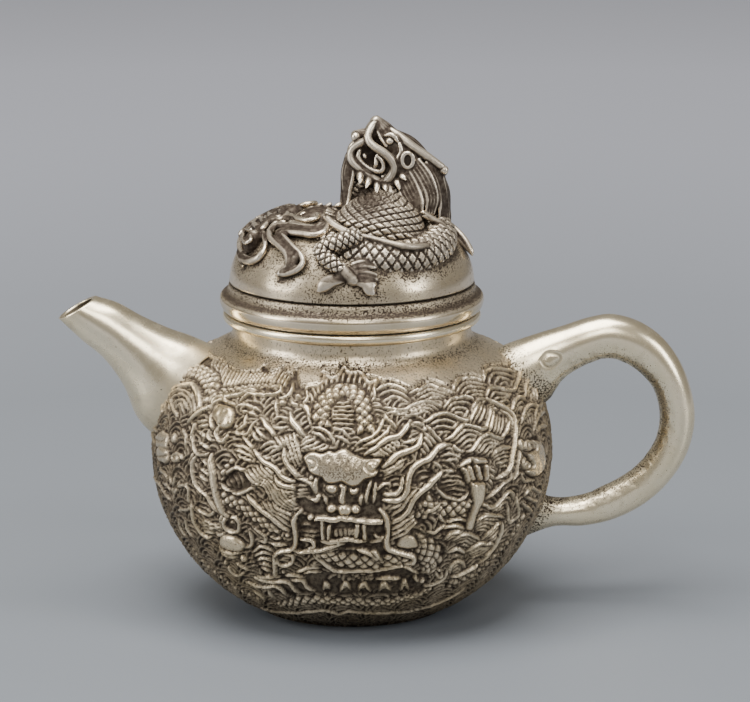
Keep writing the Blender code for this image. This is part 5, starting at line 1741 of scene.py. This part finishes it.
def legs(clay):
    """The near foreleg, and the hind leg opposite it on the far side."""
    leg = [(*on_dome(0.4, 94.8, 3.4), 2.3), (*on_dome(-4.2, 94.0, 2.8), 2.2),
           (*on_dome(-7.8, 92.7, 2.0), 1.9), (*on_dome(-6.8, 91.2, 1.8), 1.9),
           (*on_dome(-4.4, 89.7, 1.7), 2.0), (*on_dome(-2.4, 88.3, 1.3), 1.5)]
    clay.tube(leg, "scales", lanes=8, pitch=1.7, step=0.5)
    foot(clay, False)
    far = [(-x, -y, z, r) for x, y, z, r in leg]
    clay.tube(far, "scales", lanes=8, pitch=1.7, step=0.5)
    foot(clay, True)


def haunch_and_tail(clay):
    """The haunch with its row of spikes, and the tail tip."""
    clay.egg((-9.0, -8.2, 103.0), (5.8, 5.0, 3.7), tilt=(0, -8, 14))
    clay.tube([(-14.6, -10.4, 102.6, 1.6), (-11.6, -12.6, 102.4, 1.9), (-7.8, -13.6, 102.4, 1.7)],
              step=0.5)
    spikes = [(-15.4, -9.6, 103.4), (-13.6, -8.8, 105.0), (-11.6, -7.6, 106.0), (-9.2, -6.6, 106.6),
              (-6.8, -6, 106.6), (-4.4, -5.6, 106.4), (-2.2, -5.2, 106.0)]
    for x, y, z in spikes:
        clay.tube([(x, y, z - 0.8, 0.95), (x + 0.9, y + 0.2, z + 0.2, 0.65),
                   (x + 1.7, y + 0.4, z + 0.9, 0.25)], step=0.4, sides=8)
    clay.tube([(x, y + 0.2, z - 0.5, 0.8) for x, y, z in spikes], step=0.5, sides=8)
    tail = [(20, 5.6, 101.0, 3.2), (24, 3.4, 99.2, 2.6), (27.4, 0.6, 97.2, 2.3),
            (29.6, -1.8, 95.2, 1.6), (30.8, -3.4, 93.6, 0.6)]
    clay.tube(tail, step=0.5, flat=0.55, flat_axis=(0.75, -0.1, 0.65))
    clay.tube([(21, 3.4, 102.2, 0.8), (25, 1.6, 100.6, 0.8), (28.4, -1.2, 98.0, 0.8),
               (30.6, -3.2, 95.0, 0.7), (31.0, -3.8, 93.6, 0.5)], step=0.5, sides=8)
    clay.tube([(22.4, 7.4, 100.0, 0.7), (26, 5, 98.4, 0.7), (29.2, 1.6, 96.0, 0.7),
               (31.0, -2.2, 94.0, 0.5)], step=0.5, sides=8)


def dragon_body():
    """The casting of the body.  Gives its points."""
    clay = Clay()
    body_and_neck(clay)
    legs(clay)
    haunch_and_tail(clay)
    piece, co, shade = clay.fuse("dragon_body_cast", 0.27, ["dragon_coil", "dragon_neck",
            "foreleg_near", "hind_leg_far", "dragon_haunch", "tail_tip"])
    # painted shade under the jaw: the throat is darkened
    throat = np.exp(-((co[:, 0] - 4.4) / 5.5) ** 2 - ((co[:, 2] - 109.0) / 3.6) ** 2)
    smooth = (co[:, 2] > 108.5) & (co[:, 2] < 113)
    shade = np.clip(shade + throat * 0.8 + smooth * 0.15, 0, 0.97)
    toes = (np.abs(co[:, 1]) > 26.0) & (co[:, 2] < 92.0)
    shade = np.where(toes, shade * 0.45, shade)
    set_attribute(piece, "patina_and_shade", shade)
    return co


def foot(clay, far):
    """A two-toed foot spread on the dome, with hair at the ankle."""
    hand = -1 if far else 1

    def put(x, level, lift, size):
        """A station on the dome, turned to the far side for the far foot."""
        p = on_dome(x, level, lift)
        return (p[0] * hand, p[1] * hand, p[2], size)

    clay.tube([put(-3.6, 89.6, 1.2, 1.5), put(-1.6, 87.4, 1.1, 1.7), put(0.4, 85.6, 1.0, 1.6)],
              step=0.4)
    clay.tube([put(-1.4, 86.6, 0.9, 1.2), put(-3.4, 85.9, 0.9, 1.3), put(-5.4, 85.4, 0.9, 1.8),
               put(-7.2, 84.4, 0.8, 1.8), put(-8.4, 82.8, 0.6, 1.0), put(-9.0, 81.6, 0.4, 0.4)],
              step=0.4, flat=0.62, flat_axis=(0, -0.9, 0.45))
    clay.tube([put(0.0, 86, 0.9, 1.2), put(2.2, 85.2, 0.9, 1.3), put(4.0, 84.6, 0.9, 1.9),
               put(5.0, 83.2, 0.8, 1.9), put(5.6, 82.0, 0.6, 1.0), put(5.8, 80.9, 0.4, 0.4)],
              step=0.4, flat=0.62, flat_axis=(0, -0.9, 0.45))
    for start, end in (((0.6, 88.6), (5.8, 89.0)), ((1.2, 87.4), (6.2, 87.2)),
            ((2.2, 86.4), (6.4, 85.8)), ((0.2, 89.8), (4.8, 90.4))):
        clay.tube([put(*start, 1.0, 0.75), put((start[0] + end[0]) / 2, (start[1] + end[1]) / 2 + 0.2,
                1.1, 0.8), put(*end, 0.9, 0.45)], step=0.4, sides=8)


def strands(clay, first, last, count, size):
    """Locks of hair spread between two guide lines of (x, y, z)."""
    a = evenly(catmull(first, 0.5), 10)
    b = evenly(catmull(last, 0.5), 10)
    for index in range(count):
        share = index / max(count - 1, 1)
        line = a + (b - a) * share
        sizes = 0.76 * size * (0.75 + 0.45 * np.sin(np.linspace(0.2, math.pi * 0.8, 10)))
        sizes[-2:] = (size * 0.6, 0.35)
        clay.tube([(*p, s) for p, s in zip(line, sizes)], step=0.8, sides=8)


def head_middle(clay):
    """The skull and jaws on the middle plane, and a thin wall across the open mouth that is painted
    dark as shade.
    """
    clay.tube([(18.6, 0, 112.6, 4.2), (16, 0, 116.4, 4.8), (12.8, 0, 119.8, 4.9),
               (9.4, 0, 123.0, 3.5), (7.6, 0, 125.6, 2.7), (6.4, 0, 127.3, 1.9)], sides=20)
    clay.tube([(13.6, 0, 114.6, 5.0), (11.4, 0, 115.2, 4.4), (9.6, 0, 118.2, 3.0)], sides=18)
    clay.tube([(11, 0, 113.6, 4.0), (7.4, 0, 112.6, 3.2), (3.6, 0, 114.6, 2.8), (0.9, 0, 117.4, 2.2),
               (0.2, 0, 119.4, 1.4)], sides=16, flat=1.25)
    clay.tube([(6.4, 0, 124.6, 2.2), (4.2, 0, 124.2, 1.9), (1.6, 0, 124.0, 1.5)], sides=14)
    # a thin wall across the open mouth so it cannot be seen through; dragon_head darkens it as painted
    # shade
    clay.egg((4.8, 0, 118.8), (4.8, 1.3, 4.2))


def jaw_side(clay, hand):
    """The lips and the inside of the mouth."""
    lips = [(6.6, 128.3, 0.7), (5.3, 127.2, 1.7), (4.2, 124.8, 3.2), (4.6, 122.9, 4.2),
            (6.2, 121.4, 4.8), (8.8, 119.7, 5.0), (10.6, 117.5, 5.1), (10.9, 115.4, 5.1),
            (9.7, 113.1, 4.8), (7.9, 112.1, 4.4), (5.4, 113.2, 4.0), (2.6, 115.2, 3.6),
            (0.3, 117.5, 3.1), (-0.3, 119.4, 2.6), (0.2, 121.0, 2.4), (1.6, 122.2, 2.6),
            (3.6, 123.4, 3.2)]
    inner = [(2.0, 120.6, 2.6), (1.7, 118.8, 3.0), (3.0, 117.0, 3.4), (5.2, 115.5, 3.8),
             (7.4, 115.0, 4.1), (8.3, 116.2, 4.2), (7.9, 117.8, 4.0), (6.6, 119.2, 3.6)]
    widths = 0.95 + 0.18 * np.sin(np.linspace(0, math.pi, len(lips)))
    clay.tube(stations(lips, widths.tolist(), hand), step=0.35, sides=10)
    clay.tube(stations(inner, 0.62, hand), step=0.35, sides=9)
    clay.tube(stations([(6.2, 118.6, 3.6), (6.3, 117.2, 3.9), (6.0, 116.2, 3.8)], [0.45, 0.65, 0.4],
            hand), step=0.3, sides=8)
    clay.tube(stations([(3.2, 119.4, 3.0), (3.5, 118.9, 3.2)], 0.5, hand), step=0.3, sides=8)


def brow_side(clay, hand):
    """The nostril, nose lines, eye, horn and ear.  The far horn lies a little lower."""
    clay.egg(seen_points([(1.0, 124.2, 1.5)], hand)[0], (1.3, 1.2, 1.3))
    clay.tube(stations([(7.4, 128.2, 0.8), (8.2, 126.4, 1.8), (9.2, 124.8, 2.6), (10.2, 123.9, 3.2)],
            [0.5, 0.6, 0.7, 0.6], hand), step=0.35, sides=9)
    clay.tube(stations([(6.4, 127.2, 1.4), (6.9, 125.2, 2.4), (7.8, 123.4, 3.2), (9.0, 121.8, 4.0)],
            [0.35, 0.45, 0.5, 0.4], hand), step=0.35, sides=8)
    clay.egg(seen_points([(9.9, 123.1, 3.9)], hand)[0], (1.05, 0.95, 0.95))
    clay.tube(stations([(8.6, 124.6, 3.4), (9.8, 124.9, 4.0), (11.0, 124.4, 4.3), (11.8, 123.2, 4.4)],
            [0.4, 0.6, 0.65, 0.5], hand), step=0.35, sides=9)
    drop = 0.0 if hand == 1 else 1.7
    horn = [(10.2, 126.0, 1.6), (12.2, 124.4, 2.6), (14.0, 122.9, 3.4), (16.2, 121.3, 3.8),
            (18.8, 119.5, 3.9), (21.0, 117.9, 3.8), (23.4, 116.2, 3.6)]
    horn = [(x, level - drop, front) for x, level, front in horn]
    clay.tube(stations(horn, [0.9, 1.2, 1.3, 1.2, 1.2, 1.15, 1.0], hand), step=0.4, sides=12)
    clay.egg(seen_points([(23.9, 115.4 - drop, 3.6)], hand)[0], (1.25, 1.15, 1.2))
    ear = [(14.5 + 1.45 * math.cos(t), 118.0 + 1.95 * math.sin(t),
            5.6) for t in np.linspace(0, TAU, 13)]
    clay.tube(stations(ear, 0.6, hand), step=0.3, sides=8)


def cheek_side(clay, hand):
    """The cheek and the frill of points behind the jaw."""
    cheek = [(12.4, 122.4, 4.6), (12.8, 120.4, 5.0), (12.0, 118.4, 5.2), (12.6, 116.4, 5.2),
             (12.0, 114.6, 5.0)]
    clay.tube(stations(cheek, [0.5, 0.6, 0.55, 0.6, 0.5], hand), step=0.35, sides=8)
    frill = [((2.2, 113.9), (2.1, 112.1)), ((4.4, 112.6), (3.7, 110.9)), ((6.6, 111.6), (6.4, 109.2)),
             ((8.6, 111.2), (8.8, 110.2)), ((9.6, 111.4), (10.2, 108.3)),
             ((11.6, 112.6), (12.4, 110.4)), ((12.8, 114.0), (14.0, 113.0))]
    for (x0, z0), (x1, z1) in frill:
        path = [(x0, z0, 4.6), ((x0 + x1) / 2, (z0 + z1) / 2, 5.9), (x1, z1 - 0.3, 7.0)]
        clay.tube(stations(path, [1.1, 0.8, 0.25], hand), step=0.3, sides=8)
    edge = [(1.6, 114.6, 3.4), (4.4, 112.6, 4.0), (7.6, 111.2, 4.4), (10.6, 111.8, 4.6),
            (12.8, 113.8, 4.8), (13.6, 115.8, 5.0)]
    clay.tube(stations(edge, 0.75, hand), step=0.35, sides=9)


def dragon_head():
    """The casting of the head.  Gives its points."""
    clay = Clay()
    head_middle(clay)
    for hand in (1, -1):
        for sculpt in (jaw_side, brow_side, cheek_side, mane_side, beard_side):
            sculpt(clay, hand)
    clay.tube([(18.4, 0, 113.4, 3.8), (19.6, 0, 108.6, 5.0), (19.4, 0, 104.4, 5.6),
               (19.6, 1, 101.2, 5.4)], sides=20)
    clay.tube([(0.4, 0, 118.4, 2.2), (-0.5, 0, 114.4, 2.3), (-0.6, 0, 110, 2.3),
               (-0.8, -1, 106.6, 2.3)], sides=14, flat=1.3)
    piece, co, shade = clay.fuse("dragon_head_cast", 0.19, ["dragon_head", "dragon_mane",
            "dragon_beard", "horn_near", "horn_far"], deep=0.9)
    # painted shade inside the open mouth: the middle of the mouth and the wall across it are darkened
    hollow = np.exp(-((co[:, 0] - 5.2) / 2.8) ** 2 - ((co[:, 2] - 118.6) / 3.0) ** 2)
    hollow = hollow * (np.abs(co[:, 1]) < 3.4)
    set_attribute(piece, "patina_and_shade", np.clip(shade + 0.75 * hollow, 0, 1))
    return co


def mane_side(clay, hand):
    """The mane, from the cheek back to the nape."""
    strands(clay, seen_points([(14.6, 115.6, 5.4), (16.4, 112.4, 6.2), (18.0, 108.0, 7.6),
            (18.2, 103.4, 8.6)], hand), seen_points([(12.4, 110.4, 5.8), (13.6, 107.2, 7.2),
            (15.6, 104.4, 8.4), (17.6, 102.2, 9.0)], hand), 6, 0.72)
    strands(clay, seen_points([(17.4, 118.2, 4.6), (20.4, 114.0, 5.6), (22.0, 108.4, 6.0),
            (21.2, 103.6, 6.6)], hand), seen_points([(15.4, 116.4, 5.2), (17.6, 112.8, 6.0),
            (19.4, 108.4, 7.0), (19.2, 104.0, 7.8)], hand), 4, 0.75)
    strands(clay, seen_points([(23.4, 114.2, 3.2), (24.2, 109.6, 3.0), (24.2, 105.4, 3.4),
            (24.9, 100.6, 3.8)], hand), seen_points([(19.4, 117.4, 4.6), (21.8, 112.6, 5.0),
            (22.8, 107.6, 5.4), (22.6, 102.0, 6.2)], hand), 5, 0.72)
    strands(clay, seen_points([(22.8, 115.4, 0.5), (24.8, 110.0, 0.5), (25.0, 105.0, 0.5),
            (25.6, 100.0, 0.8)], hand), seen_points([(23.4, 114.6, 2.4), (24.4, 109.8, 2.2),
            (24.6, 105.2, 2.6), (25.2, 100.4, 3.0)], hand), 3, 0.8)


def beard_side(clay, hand):
    """The slab of beard under the chin."""
    strands(clay, seen_points([(-1.4, 118.4, 1.2), (-2.2, 114.8, 1.4), (-2.0, 111.2, 1.8),
            (-1.8, 107.4, 2.6), (-3.4, 104.6, 4.0)], hand), seen_points([(0.6, 116.6, 3.2),
            (0.3, 113.4, 3.4), (-0.4, 110.2, 3.6), (-0.8, 107.6, 4.0), (-1.6, 105.4, 5.4)], hand), 4,
            0.65)


def dome_line(points, lift, size):
    """Stations on the dome from (x, level), with one size or a size for each."""
    sizes = [size] * len(points) if isinstance(size, (int, float)) else size
    return [(*on_dome(x, level, lift), s) for (x, level), s in zip(points, sizes)]


def ribbon(clay):
    """The folded ribbon, between two raised edges."""
    upper = [(-6.8, 99.4), (-9.0, 98.6), (-12.0, 98.8), (-15.4, 99.2), (-18.6, 99.2), (-20.6, 98.0),
             (-20.4, 96.2), (-18.4, 94.4), (-16.6, 92.4), (-15.8, 90.4), (-16.2, 88.9), (-18.0, 87.5)]
    lower = [(-6.4, 100.8), (-6.8, 97.8), (-9.6, 96.8), (-12.8, 97.2), (-15.6, 97.4), (-17.6, 97.2),
             (-17.2, 96.2), (-14.8, 94.0), (-12.8, 91.8), (-12.2, 90.0), (-13.6, 88.2), (-16.2, 87.4),
             (-18.0, 87.4)]
    clay.tube(dome_line(upper, 1.5, 0.85), step=0.4, sides=9)
    clay.tube(dome_line(lower, 1.5, 0.85), step=0.4, sides=9)
    middle = [((a[0] + b[0]) / 2, (a[1] + b[1]) / 2) for a,
              b in zip(evenly(upper, 12), evenly(lower, 12))]
    clay.tube(dome_line(middle, 0.7, 1.25), step=0.5)
    clay.tube([(*on_dome(-15.0, 89.4, 0.9), 1.4), (*on_dome(-14.2, 91.4, 1.0), 1.2)], step=0.4)
    loop = [(-15.4, 101.2), (-13.6, 100.4), (-11.4, 99.9), (-9.4, 100.2), (-8.6, 101.0),
            (-10.0, 101.7), (-12.4, 101.4)]
    clay.tube(dome_line(loop, 2.2, 0.75), step=0.4, sides=9)


def pearl(clay):
    """The flaming pearl at the front left of the lid."""
    centre = on_dome(-25.2, 95.4, 0.8)
    clay.egg(centre, (2.4, 2.4, 3.4), tilt=(0, 12, 0))
    rim = [(-25.2 + 3.3 * math.cos(t), 95.2 + 4.1 * math.sin(t)) for t in np.linspace(0, TAU, 17)]
    clay.tube(dome_line(rim, 0.9, 0.75), step=0.4, sides=9)
    swirl = [(-24.2, 97.4), (-25.8, 97.2), (-26.4, 95.6), (-25.6, 94.2), (-24.4, 94.6), (-24.4, 95.8)]
    clay.tube(dome_line(swirl, 3.0, 0.55), step=0.35, sides=8)
    flame = [(-22.6, 93.0), (-23.8, 91.4), (-26.0, 90.6), (-27.8, 91.2), (-28.8, 93.0)]
    clay.tube(dome_line(flame, 0.9, [0.8, 0.95, 1.0, 0.9, 0.6]), step=0.4, sides=9)
    clay.tube(dome_line([(-26.6, 91.4), (-27.4, 90.2), (-27.9, 89.4)], 0.6, [0.8, 0.6, 0.3]),
              step=0.4, sides=8)


def clouds(clay):
    """Curled clouds over lumps, on to the far side."""
    curls = [[(-27.6, 98.6), (-26.6, 100.4), (-24.6, 101.2), (-22.6, 100.8), (-22.0, 99.4),
              (-23.4, 98.8), (-24.6, 99.4)], [(-23.8, 102.2), (-22.0, 103.6), (-19.6, 103.8),
            (-18.0, 102.6), (-18.4, 101.2), (-20.0, 101.2), (-20.8, 102.2)], [(-22.4, 98.4),
            (-20.6, 100.2), (-18.2, 100.6), (-16.6, 101.6), (-16.0, 103.0), (-17.2, 104.4)],
             [(-20.4, 105.0), (-18.6, 106.0), (-16.6, 105.6), (-15.6, 104.6)]]
    for line in curls:
        clay.tube(dome_line(line, 1.6, 0.85), step=0.4, sides=9)
    for angle, radius, lift, size in ((-176, 15, 0.6, 2.4), (-170, 20, 0.4, 2.2), (168, 17, 0.4, 2.2),
            (160, 22, 0.2, 2.0), (148, 23, 0.2, 1.9), (134, 22, 0.2, 1.8), (-164, 24, 0.2, 1.8),
            (178, 24.6, 0.1, 1.6)):
        x, y, z, size = round_dome(angle, radius, lift, size)
        clay.egg((x, y, z), (size * 1.2, size * 1.2, size))
    for start, radius, spin in ((165, 19.5, 1), (146, 21.5, -1), (122, 22.0, 1), (-150, 20.0, -1)):
        cx, cy, _, _ = round_dome(start, radius, 0, 1)
        line = []
        for k in range(15):
            share = k / 14
            turn = math.radians(start) + spin * TAU * 1.35 * share
            size = 3.4 * (1 - 0.78 * share)
            x, y = cx + size * math.cos(turn), cy + size * math.sin(turn)
            line.append((x, y, float(dome_height(math.hypot(x, y))) + 1.4, 0.75))
        clay.tube(line, step=0.4, sides=9)


def lid_scrolls():
    """The casting of the scrolls beside the dragon.  Gives its points."""
    clay = Clay()
    ribbon(clay)
    pearl(clay)
    clouds(clay)
    piece, co, shade = clay.fuse("dragon_scrolls_cast", 0.25, ["ribbon_scroll", "cloud_scroll",
            "flame_pearl"])
    set_attribute(piece, "patina_and_shade", shade)
    return co


# ---------------------------------------------------------------- stage, light, camera (metres)

FLOOR_LEVEL = -0.00005      # clear of the pot's underside


def stage_material():
    """Pale blue-grey, a little lighter away from the pot, and darker near it as painted shade."""
    material = bpy.data.materials.new("stage_grey")
    material.use_nodes = True
    tree = material.node_tree
    shader = tree.nodes["Principled BSDF"]
    shader.inputs["Roughness"].default_value = 0.5
    # painted shade: the dark colour near the pot and the light one far away stand in for light falling
    # off across the floor
    near, far = (0.188, 0.206, 0.232, 1.0), (0.585, 0.605, 0.69, 1.0)
    colour = mix_node(tree, attribute_node(tree, "painted_floor_light"), near, far)
    tree.links.new(colour, shader.inputs["Base Color"])
    return material


def make_stage():
    """A wide flat floor just below the pot, darker near it with painted shade."""
    radii = [0.1, 0.25, 0.4, 0.55, 0.7, 0.9, 1.2, 2.0, 4.0, 8.0]
    steps = 48
    verts = []
    for radius in radii:
        for step in range(steps):
            turn = TAU * step / steps
            verts.append((radius * math.cos(turn), radius * math.sin(turn), FLOOR_LEVEL))
    faces = grid_faces(len(radii), steps, flip=True)
    faces.append(cap(0, steps))
    mesh = bpy.data.meshes.new("stage_floor")
    mesh.from_pydata(verts, [], faces)
    floor = bpy.data.objects.new("stage_floor", mesh)
    bpy.context.scene.collection.objects.link(floor)
    mesh.materials.append(stage_material())
    reach = np.repeat(radii, steps)
    set_attribute(floor, "painted_floor_light", smoothstep((reach - 0.15) / 0.9))


def add_light(name, place, aim, size, power, colour=(1.0, 0.98, 0.95), size_y=None):
    """A soft rectangle of light that faces its aim."""
    light = bpy.data.lights.new(name, "AREA")
    light.shape = "RECTANGLE"
    light.size = size
    light.size_y = size_y or size
    light.energy = power
    light.color = colour
    lamp = bpy.data.objects.new(name, light)
    lamp.location = place
    lamp.rotation_euler = (Vector(aim) - Vector(place)).to_track_quat("-Z", "Y").to_euler()
    bpy.context.scene.collection.objects.link(lamp)


def make_lights():
    """A large light above, one at each side and one in front, in a dim warm room."""
    target = (0.0, 0.0, 0.06)
    add_light("key_top", (-0.1, -0.15, 1.0), target, 0.8, 18.5)
    add_light("left_window", (-1.0, -0.35, 0.5), target, 0.4, 7.5, (1.0, 0.99, 0.97), 0.7)
    add_light("right_window", (1.0, -0.5, 0.5), target, 0.35, 5.0, (0.97, 0.98, 1.0), 0.6)
    add_light("front_high", (0.1, -1.2, 0.9), target, 0.5, 5.0)
    world = bpy.data.worlds.new("studio")
    world.use_nodes = True
    background = world.node_tree.nodes["Background"]
    background.inputs["Color"].default_value = (0.62, 0.60, 0.56, 1.0)
    background.inputs["Strength"].default_value = 0.42
    bpy.context.scene.world = world


def make_camera():
    """The camera that the strokes were laid for."""
    data = bpy.data.cameras.new("camera")
    data.sensor_width = 36.0
    data.lens = 36.0 * CAM_FAR / CAM_SPAN
    camera = bpy.data.objects.new("camera", data)
    camera.location = (np.array(CAM_AIM) - LOOK * CAM_FAR) * MM
    camera.rotation_euler = Vector(LOOK).to_track_quat("-Z", "Y").to_euler()
    data.clip_start = 0.05
    data.clip_end = 20.0
    bpy.context.scene.collection.objects.link(camera)
    bpy.context.scene.camera = camera


# ---------------------------------------------------------------- build

make_pot(make_relief())
make_rings()
make_spout()
make_handle()
make_dome(np.vstack([dragon_body(), dragon_head(), lid_scrolls()]))
make_stage()
make_lights()
make_camera()
CAD_FINISH = {"base_plate": RELIEF_SILVER, "lid_bezel": LID_SILVER, "spout_strainer": INSIDE_SILVER}
for cad_name, finish in CAD_FINISH.items():
    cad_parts[cad_name].data.materials.clear()
    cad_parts[cad_name].data.materials.append(finish)
